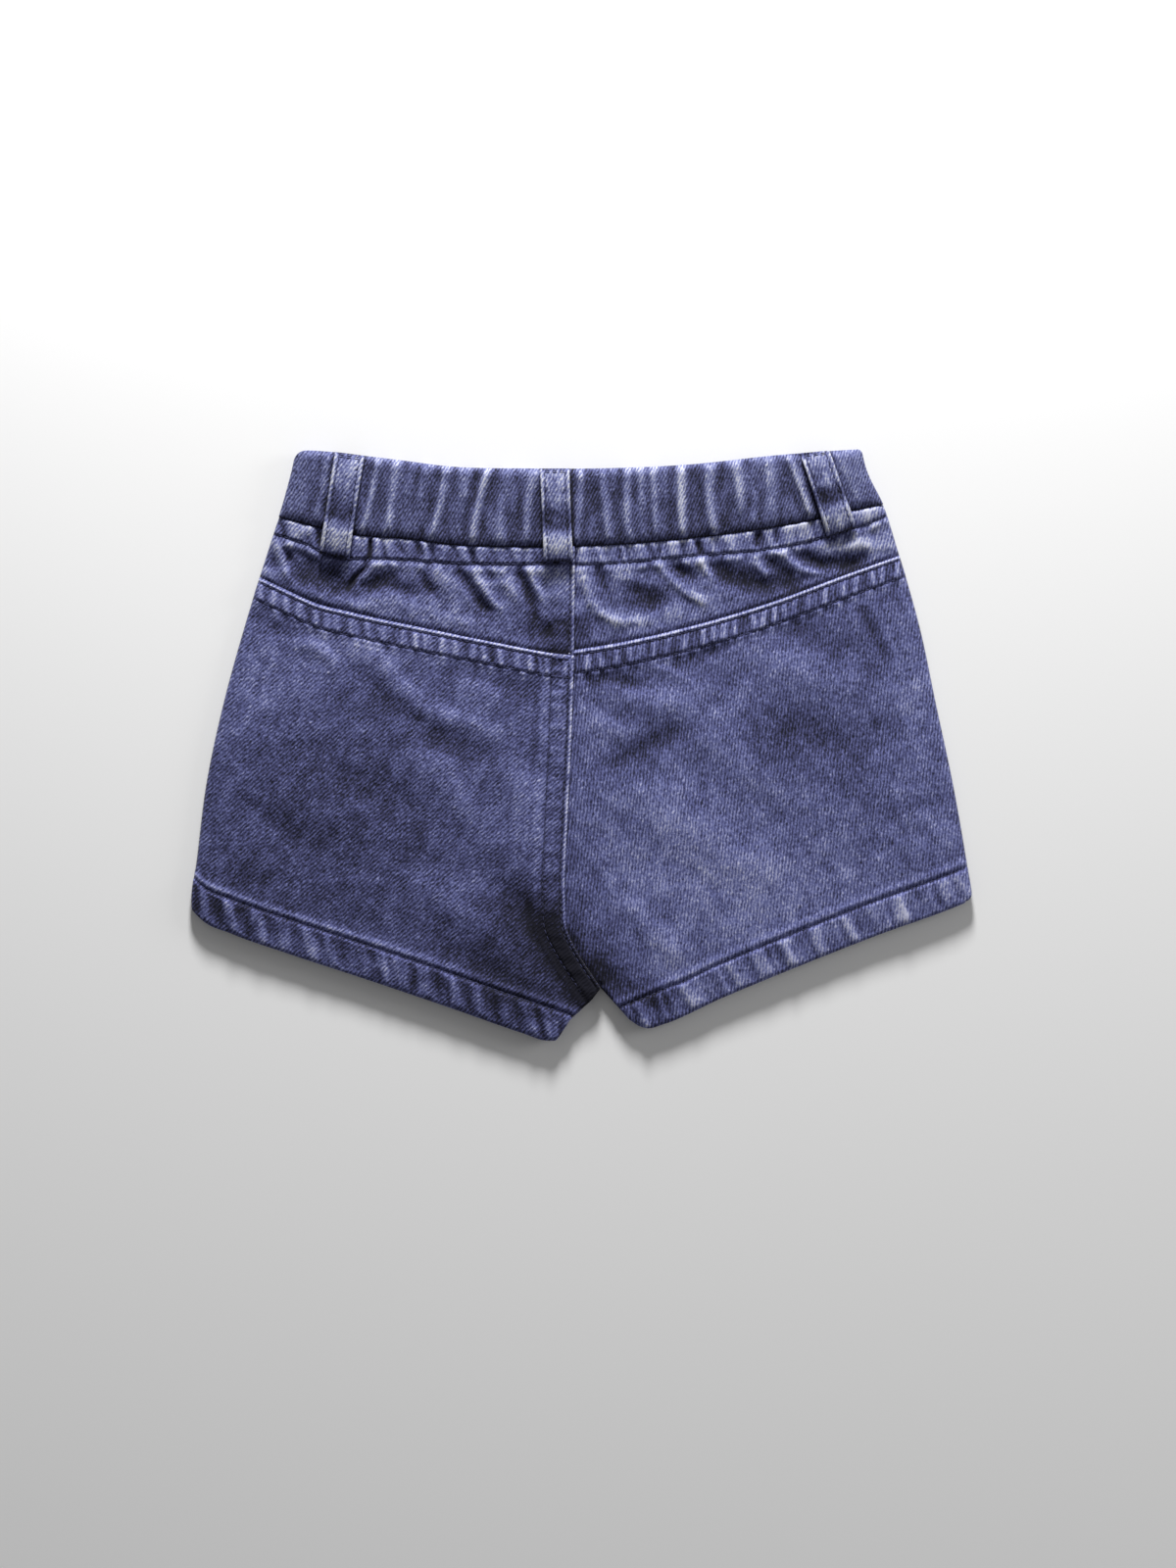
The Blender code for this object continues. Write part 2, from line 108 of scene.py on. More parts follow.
FRONT_CENTRE = [Seam(*row) for row in [(7.3, -88.5), (1.5, -50), (-0.5, 20), (-0.5, 76)]]
INNER_SHARE = 0.16  # of the way from the hem to the top, along the inner leg


def through(rows, at, value):
    """A smooth curve through two columns of a table, straight beyond its ends."""
    xs = np.array([getattr(row, at) for row in rows])
    ys = np.array([getattr(row, value) for row in rows])
    slopes = np.gradient(ys, xs)

    def curve(x):
        inside = np.clip(x, xs[0], xs[-1])
        i = np.clip(np.searchsorted(xs, inside) - 1, 0, len(xs) - 2)
        step = xs[i + 1] - xs[i]
        t = (inside - xs[i]) / step
        start = (1 + 2 * t) * (1 - t) ** 2 * ys[i] + t * (1 - t) ** 2 * step * slopes[i]
        end = t * t * (3 - 2 * t) * ys[i + 1] + t * t * (t - 1) * step * slopes[i + 1]
        beyond = np.where(x < xs[0], slopes[0], slopes[-1]) * (x - inside)
        return start + end + beyond

    return curve


side_left = through(LEVELS, "y", "left")
side_right = through(LEVELS, "y", "right")
waist_top = through(WAIST, "x", "top")
waist_seam = through(WAIST, "x", "seam")
strip_stitch = through(WAIST, "x", "stitch")
yoke_left = through(YOKE_LEFT, "x", "y")
yoke_right = through(YOKE_RIGHT, "x", "y")
hem_left = through(HEM_LEFT, "x", "y")
hem_right = through(HEM_RIGHT, "x", "y")
centre_back = through(CENTRE, "y", "x")
front_centre = through(FRONT_CENTRE, "y", "x")


def ease(t):
    t = np.clip(t, 0, 1)
    return t * t * (3 - 2 * t)


def roll(gap, reach):
    """A quarter round: 0 at an edge, 1 from reach inwards."""
    t = np.clip(gap / reach, 0, 1)
    return np.sqrt(t * (2 - t))


def bump(off, wide):
    return np.exp(-((off / wide) ** 2))


def crest(off, wide):
    """A ridge with a flatter top and quicker sides than a bump."""
    return np.exp(-np.abs(off / wide) ** 3)


def between(t, low, high, soft):
    """1 from low to high, easing to 0 outside over soft."""
    return ease((t - low) / soft + 0.5) * ease((high - t) / soft + 0.5)


def rumple(x, y, size, seed):
    """Smooth unevenness from -1 to 1, about size across."""
    rng = np.random.default_rng(seed)
    lattice = rng.uniform(-1, 1, (97, 97))
    gx, gy = x / size + 48, y / size + 48
    ix = np.clip(np.floor(gx).astype(int), 0, 95)
    iy = np.clip(np.floor(gy).astype(int), 0, 95)
    tx, ty = ease(gx - ix), ease(gy - iy)
    low = lattice[iy, ix] * (1 - tx) + lattice[iy, ix + 1] * tx
    high = lattice[iy + 1, ix] * (1 - tx) + lattice[iy + 1, ix + 1] * tx
    return low * (1 - ty) + high * ty


def puckers(along, across, reach, pitch, seed, lean=0.0, narrow=0.3, least=0.35):
    """Uneven little ridges, 0 to 1, square to a row of stitches that runs from -reach to reach."""
    rng = np.random.default_rng(seed)
    total, at = 0 * along, -reach
    while at < reach:
        at += pitch * rng.uniform(0.65, 1.4)
        tall, wide = rng.uniform(least, 1.0), pitch * narrow * rng.uniform(0.7, 1.3)
        slope = lean + rng.uniform(-0.15, 0.15)
        total = np.maximum(total, tall * crest(along - at - slope * across, wide))
    return total


Crease = namedtuple("Crease", "height right left wear path")


def crease(height, wide, wear, *path):
    """A soft ridge, or a trough where the height is negative, along a path of x, y, x, y and so on.

    Wide is a pair, to the right and to the left of the path, where one side is the steeper one.
    Its third value fades the cloth there, as wear with a painted highlight on a ridge, or where it is
    negative darkens it, as painted shade in a trough.
    """
    right, left = wide if isinstance(wide, tuple) else (wide, wide)
    return Crease(height, right, left, wear, np.reshape(path, (-1, 2)))


def smooth_path(path, steps=6):
    """A few points joined by a smooth line of many."""
    p = np.array(path, float)
    p = np.concatenate([[2 * p[0] - p[1]], p, [2 * p[-1] - p[-2]]])
    t = np.linspace(0, 1, steps, endpoint=False)[:, None]
    made = []
    for a, b, c, d in zip(p, p[1:], p[2:], p[3:]):
        bend = (2 * a - 5 * b + 4 * c - d) * t**2
        twist = (3 * b - a - 3 * c + d) * t**3
        made.append(0.5 * (2 * b + (c - a) * t + bend + twist))
    return np.concatenate(made + [p[-2:-1]])


def beside(path, x, y):
    """How far off a smooth path each point is, on which side, and how far along from 0 to 1."""
    p = smooth_path(path)
    best = np.full(np.shape(x), 1e9)
    side, share = 0 * best, 0 * best
    for i, (a, b) in enumerate(zip(p[:-1], p[1:])):
        run = b - a
        t = np.clip(((x - a[0]) * run[0] + (y - a[1]) * run[1]) / (run @ run), 0, 1)
        dx, dy = x - a[0] - t * run[0], y - a[1] - t * run[1]
        off = np.hypot(dx, dy)
        near = off < best
        best = np.where(near, off, best)
        side = np.where(near, np.sign(dx * run[1] - dy * run[0]), side)
        share = np.where(near, (i + t) / (len(p) - 1), share)
    return best, side, share


def crease_sum(creases, x, y):
    height, wear = 0 * x, 0 * x
    for c in creases:
        off, side, share = beside(c.path, x, y)
        wide = np.where(side > 0, c.right, c.left)
        fade = 0.25 + 0.75 * np.sqrt(np.clip(4 * share * (1 - share), 0, 1))
        height = height + c.height * fade * bump(off, wide)
        wear = wear + c.wear * fade * bump(off, 1.1 * wide)
    return height, wear


# Broad lighter or darker areas with no relief of their own: partly faded cloth, partly painted light and
# shade.
Patch = namedtuple("Patch", "x y wide tall wear turn", defaults=(0,))


def patch_sum(patches, x, y):
    total = 0 * x
    for p in patches:
        turn = np.radians(p.turn)
        dx, dy = x - p.x, y - p.y
        along = dx * np.cos(turn) + dy * np.sin(turn)
        aside = dy * np.cos(turn) - dx * np.sin(turn)
        total = total + p.wear * np.exp(-((along / p.wide) ** 2) - (aside / p.tall) ** 2)
    return total


# A gather runs from its place at the waistband's top to that at its seam, between two shares of its depth.
Gather = namedtuple("Gather", "top_x seam_x wide height lean low high", defaults=(0.0, 1.0))
GATHERS = [Gather(*row) for row in [
    (-100.5, -106, 3, 0.5, 0.1), (-94, -99.5, 1.6, 0.6, 0.2, 0.1), (-75.9, -81.2, 1.5, 1, 0.3),
    (-69.7, -72.3, 2.2, 0.9, 0.3), (-63.8, -66, 1.8, 0.4, 0.2, 0.6),
    (-58.8, -60.4, 1.8, 0.6, 0.2, 0.45), (-50.3, -56.4, 2, 1.2, 0.4), (-42.8, -45, 2, 0.5, 0.2, 0.55),
    (-34.6, -41, 2.1, 1.3, 0.4), (-28.5, -30.5, 1.8, 0.5, 0.2, 0, 0.62), (-17, -22, 2.2, 1, 0.2),
    (-0.9, -0.9, 1.8, 0.8, -0.2), (8.4, 9.2, 2, 0.9, 0.3), (16.4, 18.2, 1.9, 1, 0.3),
    (22, 24.4, 1.8, 0.5, 0.2, 0.5), (27.2, 27, 1.6, 0.8, 0.3), (35.6, 38.2, 2.2, 1.5, 0.4),
    (47.1, 48.9, 2.4, 1.1, 0.3), (57, 58.6, 2.6, 1, 0.3, 0.25), (63, 63.5, 2.2, 0.5, 0.1, 0, 0.5),
    (68.3, 70, 2.8, 0.6, 0.2), (77, 84.2, 2, 1.1, 0.5), (95.5, 104, 3, 0.6, 0.2),
]]

# Faded cloth and painted light and shade on the waistband.
BAND_PATCHES = [Patch(*row) for row in [
    (25, 102, 8, 8, 0.5), (68, 103, 9, 8, 0.55), (100, 103, 9, 9, 0.6), (-111, 94, 6, 14, 0.4),
    (9, 90, 7, 8, -0.3), (-20, 101, 6, 5, 0.3), (97, 90, 6, 6, 0.5),
]]

YOKE_CREASES = [crease(*row) for row in [
    # The cloth laps over itself left of the second gather, over a deep hollow.
    (-1.1, 4.6, -1, -109, 71, -100, 66, -92, 62, -85, 59),
    (-1.1, 1.1, -1.9, -79.4, 70, -80.2, 66, -83.6, 62.5, -87, 58),
    (1, 1.8, 1, -77, 69.5, -78, 65.5, -82, 61.5),
    (0.5, 2.4, 0.5, -108, 60.5, -98, 56, -86, 52.5, -75, 51.5),
    (0.7, 1.7, 1, -113.5, 76, -111.5, 69, -109, 63), (-0.5, 1.4, -0.9, -110.5, 73.5, -108, 68.5),
    (-0.7, 2.6, -1.2, -79, 58.5, -74.5, 61, -69.5, 63.5), (0.4, 1.8, 0.6, -77, 67, -72, 67.5, -68, 66),
    (0.6, 2.4, 0.8, -66, 66, -62.5, 63.5, -59, 61.5), (-0.6, 2.4, -0.9, -70, 59.5, -65, 58, -60, 56.5),
    (-0.8, 2, -1.5, -61, 64, -58, 60.5, -54.5, 56), (0.5, 2.6, 0.8, -55, 65, -51, 61.5, -48.5, 56),
    (0.4, 2.4, 0.5, -52, 47.5, -44, 45.5, -36, 43),
    (-0.9, 1.9, -1.4, -46, 65, -41.5, 59.5, -38, 53.5, -33, 49.5),
    (0.8, 1.9, 1, -42, 66, -37.4, 60, -33, 53.5, -29, 50), (-0.4, 1.4, -0.8, -35, 65.5, -33, 61),
    (0.5, 2.4, 0.7, -30.5, 64.5, -27.5, 60, -24.5, 56),
    (-0.9, 2, -1.6, -23, 64.5, -20.2, 58, -17.6, 51.5, -17, 45.5),
    (0.8, 1.7, 1.1, -20.5, 67, -17.4, 60, -13.9, 54), (-0.6, 3.4, -0.9, -20, 42, -14, 43, -7, 43.5),
    (0.4, 3.4, 0.4, -78, 55, -68, 52, -58, 50),
    # Right half.
    (0.7, 2, 0.9, 0.8, 67, 1.5, 60, 3.8, 53.5, 8, 48.5, 16, 46, 27, 46.5),
    (-0.6, 2.2, -1.1, 4.5, 67, 6.5, 64, 9, 61.5), (0.4, 2.4, 0.5, 11, 64, 17, 62.5, 22, 60.5),
    (-0.9, 3.4, -1.2, 17, 57.5, 25, 54.5, 32, 52.5),
    (1, (1.6, 2.4), 1.2, 27, 68.5, 32, 63, 38.6, 56.5, 47, 52.5),
    (-0.9, 2.3, -1.4, 32.5, 68, 37, 65, 43, 62), (0.7, 1.5, 1.1, 42.5, 69.5, 45.5, 66, 48.5, 62),
    (-0.9, 3, -1.4, 49.5, 68.5, 53, 64, 57, 60), (0.6, 1.8, 0.9, 63, 69, 66, 66, 69.5, 62.5),
    (-1, 3.6, -1.3, 58, 62.5, 67, 60, 80, 60.5), (-0.6, 2.4, -1, 69.5, 68.5, 74, 65, 79, 62.5),
    (0.9, 2, 1, 69, 73.5, 74, 71, 80, 67.5), (-1.1, 2.4, -1.4, 77, 71.5, 86, 68.6, 94, 67.4, 107, 70.5),
    (0.6, 1.6, 0.8, 79, 66.5, 87, 64, 95, 64.5), (0.6, 2.2, 1.5, 90, 73.5, 99, 73.6, 108, 76),
    (0.5, 3, 0.6, 105, 71, 111, 73, 117, 76), (-0.4, 1.6, -0.7, 86, 62.5, 96, 65, 106, 68.5),
]]
# Faded cloth and painted light and shade on the yoke.
YOKE_PATCHES = [Patch(*row) for row in [
    (-50, 53, 14, 5, 0.25, -10), (-26, 52, 8, 6, 0.2, -15), (-93, 60, 12, 6, -0.2),
    (-98, 62, 14, 5, -0.3, -20), (113, 71, 7, 6, 0.4), (-110, 71, 7, 6, 0.2), (0, 43, 4.5, 7, -1),
    (22, 47, 14, 3, 0.3, 5), (46, 54, 7, 4, 0.5, 20), (8, 57, 6, 6, -0.2), (-7, 60, 4, 7, 0.35),
    (-97, 58, 13, 5, -0.7, -15), (-7, 45, 7, 5, -0.6), (24, 46, 10, 4, 0.35, 5), (-76, 60, 6, 5, -0.3),
    (76, 56, 14, 4, -0.5, 12),
]]
STRIP_CREASES = [crease(*row) for row in [
    (0.7, 2.4, 1.7, -105.5, 79.8, -100, 79.2), (-0.8, 1.2, -1.6, -97.4, 82, -97, 74),
    (0.5, 2.4, 0.8, -84, 75.5, -80.8, 75), (-1.4, 0.8, -2.8, -78, 78.5, -78.4, 73, -78.8, 68.5),
    (0.4, 2.5, 0.6, -76, 74.5, -71, 74), (-0.7, 1, -1.4, -68.5, 77, -65.5, 70),
    (-0.7, 1, -1.4, -61, 76, -58.5, 69.5), (-0.8, 1, -1.6, 14, 74.5, 14.5, 67.5),
    (-0.7, 0.9, -1.5, 29, 75.5, 29, 69), (-0.8, 1.2, -1.6, 43.5, 77.5, 44, 70.5),
    (-0.6, 0.9, -1.2, 50, 78, 51, 71.5), (-1.2, 1.6, -2.4, 65.5, 80.5, 65, 73),
    (-0.7, 1.1, -1.5, 72, 81.5, 72.5, 74.5), (0.5, 3, 0.8, 76, 80.5, 84, 82.5),
    (0.8, 3, 1.1, 101, 84.5, 111, 87),
]]
LEG_CREASES = [crease(*row) for row in [
    # Left: one long fold from the yoke seam towards the middle, and hollows below it.
    (0.9, (4.62, 3.78), 0.6, -86, 38, -77, 33.5, -70, 25.5, -63, 18, -55, 12.5, -41, 8, -29, 3),
    (-0.6, 4.6, -0.5, -78, 25, -70, 16, -61, 9, -50, 3, -39, -2, -27, -8),
    (0.5, 2.6, 0.4, -108, 40, -98, 37, -90, 31), (0.5, 3.6, 0.35, -62, -1, -52, -7, -42, -12),
    (0.8, 6, 0.4, -66, -2, -52, -14, -38, -26, -30, -38),
    (1, 6, 0.4, -34, -4, -24, -14, -19, -28, -19, -42), (0.7, 5, 0.35, -46, 23, -32, 18, -24, 8),
    (-0.6, 4, -0.5, -42, 28, -31, 23, -14, 22), (-0.5, 2.6, -0.4, -122, 49, -112, 42, -100, 38.5),
    (0.6, 3, 0.35, -104, 38, -95, 33, -90, 26), (-0.7, 7, -0.25, -104, 4, -86, -12, -62, -24),
    (-0.5, 6, -0.2, -130, -18, -112, -30, -90, -38), (-1.4, 6, -0.75, -34, -50, -22, -60, -8, -76, 0, -88),
    (0.7, 5, 0.35, -62, -50, -44, -62, -28, -72), (-0.8, 4.5, -0.4, -50, -74, -34, -84, -20, -92),
    # Right.
    (-0.7, 3.6, -0.85, 39, 8, 30, 2.5, 21, -2, 8, -8), (-0.6, 2.4, -0.9, 2, 25, 12, 24.5, 24, 22),
    (-0.5, 2, -0.8, 33, 30.5, 44, 34, 55, 37.5), (0.5, 2.2, 0.5, 20, 31, 34, 27, 44, 20),
    (-0.5, 2.2, -0.6, 104, 51, 111, 37, 117, 23), (0.5, 3.4, 0.4, 3, 10, 10, 6.5, 17, 6),
    (0.9, 5, 0.5, 8, 24, 20, 17, 33, 15, 45, 18), (-0.9, 7, -0.45, 76, 12, 90, 3, 106, 2, 120, 9),
    (1, 9, 0.4, 18, -12, 36, -28, 56, -42, 76, -46), (0.6, 6, 0.3, 40, 12, 58, -4, 76, -22),
    (-0.5, 5, -0.3, 72, 44, 92, 38, 112, 30), (0.6, 6, 0.3, 62, 36, 84, 26, 104, 22),
    (-0.6, 3.5, -0.5, 9, -84, 15, -90, 22, -97), (0.8, 5, 0.4, 16, -58, 27, -70, 38, -80),
]]
# Faded cloth and painted light and shade on the legs.
LEG_PATCHES = [Patch(*row) for row in [
    (-112, 20, 26, 16, 0.3, 20), (-85, -25, 55, 26, -0.4, -15), (-60, -58, 40, 14, -0.1, -18),
    (-16, -70, 16, 20, -0.75, -40), (-14, -92, 14, 14, -0.55), (-22, 8, 14, 22, 0.12),
    (40, -35, 40, 26, 0.28, -15), (92, -48, 36, 16, 0.1, 20), (5, -84, 9, 13, -1.3, -30),
    (96, -2, 24, 12, -0.1), (-80, -15, 60, 42, -0.22, -15), (-128, -55, 18, 18, -0.35),
    (-70, -66, 40, 11, -0.35, -18), (-49, 24, 9, 8, -0.4), (-80, 15, 26, 10, -0.25),
    (66, -62, 50, 12, 0.4, 21), (122, 15, 8, 30, 0.35, 12), (5, 12, 6, 10, 0.4), (8, -38, 8, 20, 0.35),
    (22, -12, 9, 8, -0.3), (68, -10, 9, 8, -0.3), (-32, -93, 24, 12, -0.55, -18), (27, -98, 9, 7, -0.7),
    (45, -54, 14, 8, 0.4, 20), (40, -86, 9, 6, 0.4, 20), (20, -44, 9, 8, 0.35), (52, -32, 10, 8, -0.25),
    (-26, 17, 8, 5, -0.45), (22, 28, 14, 5, -0.4, 10), (62, 6, 16, 5, -0.35),
    (-56, 38, 10, 5, 0.5, -15), (-128, -46, 10, 8, -0.4), (-112, -60, 14, 6, -0.3, -15),
    (-36, -62, 12, 6, -0.35, -15), (-32, -94, 14, 7, -0.4, -18), (24, -92, 10, 6, -0.55, 20),
    (-34, -48, 14, 6, 0.3), (38, -80, 8, 6, 0.35, 20), (64, -68, 14, 5, 0.3, 20),
    (30, -82, 8, 6, 0.3, 20), (-48, 35, 7, 5, 0.45, -15), (24, 13, 9, 6, -0.6), (4, 22, 10, 6, -0.3),
    (74, 0, 15, 8, -0.35), (-52, -3, 12, 8, -0.4, -20), (-20, -4, 8, 8, -0.3),
    (-34, -74, 8, 6, -0.4, -18), (25, -97, 8, 6, -0.5, 20), (-136, -62, 8, 6, -0.5, -20),
    (-106, -63, 9, 5, -0.3, -18), (32, -52, 12, 6, 0.35, 20), (24, -64, 7, 5, -0.4, 20),
    (39, -75, 7, 5, -0.4, 20), (-34, -52, 8, 6, 0.3), (10, -75, 6, 6, 0.35), (-20, 13, 9, 6, -0.25),
    (40, -22, 12, 6, -0.2), (98, 2, 8, 6, 0.35), (-121, 24, 7, 7, 0.4), (98, 24, 8, 6, -0.3),
    (123, 13, 5, 8, 0.3),
]]


Loop = namedtuple("Loop", "node top_x low_x low_y slant")
LOOPS = [
    Loop("belt_loop_left", -85.6, -91.4, 70.6, -3.3),
    Loop("belt_loop_center", -9.8, -8.4, 68.2, 0.0),
    Loop("belt_loop_right", 86.4, 96.5, 79.4, 3.7),
]


def loop_shadow(x, y):
    """Painted shadow on the cloth right beside and below each belt loop."""
    dark = 0 * x
    for loop in LOOPS:
        top_y = waist_top(loop.top_x)
        share = np.clip((top_y - y) / (top_y - loop.low_y), 0, 1.0)
        off = x - loop.top_x - (loop.low_x - loop.top_x) * share
        low = loop.low_y + off / LOOP_WIDE * loop.slant
        outside = np.hypot(np.maximum(np.abs(off) - LOOP_WIDE / 2, 0), 0.8 * np.maximum(low - y, 0))
        strong = 1.0 + 0.8 * (off > 0) * between(y, 78, 98, 6) * (loop.slant == 0.0)
        dark = dark - 0.95 * strong * bump(outside, 1.0)
    return dark


def side_gap(x, y):
    return np.minimum(x - side_left(y), side_right(y) - x)


def by_leg(x, left, right):
    return np.where(x < BETWEEN_LEGS, left, right)


def hem_gap(x, y):
    """How far above its hem a point of a leg is, square to the hem."""
    return by_leg(x, (y - hem_left(x)) * SQUARE_HEMS[0], (y - hem_right(x)) * SQUARE_HEMS[1])


def hem_line(x):
    """The hems without the turn at the inner leg, where their stitches run straight on."""
    left = np.where(x > -24.0, -106.0 - 0.345 * (x + 24.0), hem_left(x))
    right = np.where(x < 34.0, -102.0 + 0.42 * (x - 34.0), hem_right(x))
    return by_leg(x, left, right)


def row_gap(x, y):
    return (y - hem_line(x)) * by_leg(x, *SQUARE_HEMS)


def inner_gap(x, y):
    """How far a point of a leg is from the inner leg edge, below the crotch."""
    sides = INNER_LEFT, INNER_RIGHT
    left, right = (np.interp(y, [p.y for p in side], [p.x for p in side]) for side in sides)
    gap = np.where(x < right, left - x, x - right)
    return np.where(y < -88, np.maximum(gap, 0) * 0.8, 99.0)


def centre_gap(x, y, left):
    """How far a point is from the centre back seam, on its own side."""
    return (centre_back(y) - x) if left else (x - centre_back(y))


def goes_under(centre):
    """The drop of a right piece where it goes in under the left one, and the painted shade there."""
    return 0.3 * (1 - ease((centre - 0.2) / 2.5)), 0.9 * bump(centre + 0.4, 0.8)


def air(x, y):
    """Air between the front and a back leg or yoke."""
    body = PUFF * roll(side_gap(x, y), 26) * (0.35 + 0.65 * roll(hem_gap(x, y), 30))
    to_band = ease(1 - (waist_seam(x) - y) / 22) * roll(side_gap(x, y), 8)
    return body * (1 - to_band) + (BAND_FLOOR - BACK_FLOOR) * to_band


def tumble(x, y, seed):
    """The slight unevenness of cloth that lies free."""
    parts = [(0.35, 26), (0.16, 11), (0.05, 4.5)]
    return sum(share * rumple(x, y, size, seed + i) for i, (share, size) in enumerate(parts))


def crinkled(x, y, size, fine, seed):
    return rumple(x, y, size, seed) + 0.8 * rumple(x, y, fine, seed + 1)


ROW_REACH, HEM_REACH, YOKE_REACH, BAND_REACH = 150, 180, 130, 115


def seam_rows(gap, along, seed, rows=LAP_ROWS, lap=LAP, pitch=5.2, ripple=1.0, second=1.0):
    """The relief, wear and painted shade of a lapped, double-stitched edge, gap millimetres in from it.

    Ripple is how much it puckers between its rows, and second how deep its second row lies.
    """
    plateau = lap * ease((rows[1] + 3.0 - gap) / 4.5)
    fray = 0.8 + 0.5 * rumple(along, gap, 1.0, seed + 70)
    height = plateau - 0.55 * (1 - roll(gap, 0.8)) - 0.45 * bump(gap - rows[0], 0.5)
    # Its frayed edge is pale, and the line under it is painted shadow.
    wear = 2.2 * fray * bump(gap - 0.45, 0.5) - 0.9 * bump(gap - rows[0] - 0.2, 0.5)
    inside = between(gap, rows[0] + 0.5, rows[1] - 0.3, 1.2) * ripple
    fine = puckers(along, gap - 4, ROW_REACH, 0.55 * pitch, seed + 20, 0.1, 0.24)
    ridges = np.maximum(puckers(along, gap - 4, ROW_REACH, pitch, seed, 0.0, 0.22, 0.6), 0.5 * fine)
    height = height + (ridges - 0.35) * 0.8 * inside
    wear = wear + ((ridges - 0.40) * 2.2 + 0.15) * inside
    height = height - 0.4 * second * bump(gap - rows[1], 0.45)
    # Painted shade in the second row's groove.
    wear = wear - 0.55 * second * bump(gap - rows[1], 0.4)
    beyond = between(gap, rows[1] + 0.4, rows[1] + 3.4, 1.2) * ripple
    echoes = puckers(along, gap - 8, ROW_REACH, pitch, seed + 50, 0.15, 0.3)
    height = height + (echoes - 0.3) * 0.45 * second * beyond
    wear = wear + (echoes - 0.15) * 1.4 * second * beyond
    return height, wear


def leg(left):
    yoke_seam, other = (yoke_left, 0) if left else (yoke_right, 1)

    def relief(x, y):
        from_yoke = (yoke_seam(x) - y) * SQUARE_YOKE
        hem = row_gap(x, y)
        centre = centre_gap(x, y, left)
        folds, wear = crease_sum(LEG_CREASES, x, y)
        free = roll(side_gap(x, y), 15) * ease((hem - HEM_DEPTH + 2) / 16) * ease((from_yoke - 3) / 12)
        if left:
            free = free * ease((centre - 3) / 12)
        crinkle = crinkled(x, y, 5.5, 2.8, 14)
        loose = (folds + tumble(x, y, 11) + 0.13 * crinkle) * (0.25 + 0.75 * free)
        height = BACK_FLOOR + DENIM + np.maximum(air(x, y) + loose, -0.1)
        # Lighter on the ridges of its folds and crinkles and darker in their troughs, as wear and painted
        # light and shade, with broad patches of both.
        wear = wear * (0.35 + 0.65 * free) * 1.3 + patch_sum(LEG_PATCHES, x, y) + 0.22 * crinkle
        extra, band_wear_and_shade = seam_rows(from_yoke, x, 21 + other)
        wear = wear + band_wear_and_shade
        if left:
            fell, fell_wear_and_shade = seam_rows(centre, y, 23, FELL_ROWS, pitch=7.0, ripple=0.35)
            # Painted shade in a hollow beside the fell, with the raised cloth before it lighter.
            hollow = bump(centre - 13.8, 0.9)
            extra = np.maximum(extra, fell + 0.35 * bump(centre - 11.3, 1.3) - 0.25 * hollow)
            fell_wear_and_shade = fell_wear_and_shade * ease((34 - y) / 3) + 0.30 * bump(centre - 11.0, 1.6) - 0.3 * hollow
            # Painted shade: the crotch's deep valley nearly black, and darker still near its tip.
            deep = ease((-44 - y) / 42) * ease((centre - 0.6) / 1.2) * ease((19 - centre) / 14)
            tip = ease((-60 - y) / 14)
            wear = wear + fell_wear_and_shade * (1 - 0.8 * deep) * (1 - 0.85 * tip) - 1.9 * deep
            wear = wear - 0.8 * tip * (1 - deep) * bump(centre, 3)
        else:
            drop, dark = goes_under(centre)
            extra, wear = extra - drop, wear - dark
        # The hem: two more layers, a row of stitches, a bulge above it and roping below it.
        from_row = hem - HEM_DEPTH
        plateau = ease((0.7 - from_row) / 1.6)
        along = x * 0.94 + y * (-0.34 if left else 0.37)
        slant = -0.65 if left else -0.05
        ropes = puckers(along, hem - 6, HEM_REACH, 9.5, 31 + other, slant, 0.25)
        fine = puckers(along, hem - 6, HEM_REACH, 4.2, 33 + other, slant * 0.6, 0.28)
        in_hem = between(hem, 1.2, HEM_DEPTH - 0.8, 2.0)
        extra = extra + plateau + in_hem * ((ropes - 0.3) * 0.75 + (fine - 0.4) * 0.3)
        extra = extra - 0.5 * bump(from_row, 0.6) + 0.55 * bump(from_row - 2.0, 1.3)
        # Uneven fading, and the right hem painted lighter than the left, as painted light.
        side_tone = 0.5 * rumple(x, y, 4.5, 35) + (-0.05 if left else 0.55)
        wear = wear + in_hem * ((ropes - 0.3) * 1.4 + (fine - 0.4) * 0.8 + side_tone)
        # The bulge over the row is lighter, most on the left, as wear and a painted highlight.
        bulge = (0.5 + 0.7 * ease((-40 - x) / 60)) if left else 0.35
        wear = wear - 0.6 * bump(from_row, 0.5) + bulge * bump(from_row - 1.9, 1.2) + 0.25 * bump(hem, 0.6)
        turned = 1.5 * (1 - roll(side_gap(x, y), 3.0)) + 0.9 * (1 - roll(hem_gap(x, y), 1.3))
        turned = turned + 0.7 * (1 - roll(inner_gap(x, y), 2.5))
        return height + extra - turned, wear

    return relief


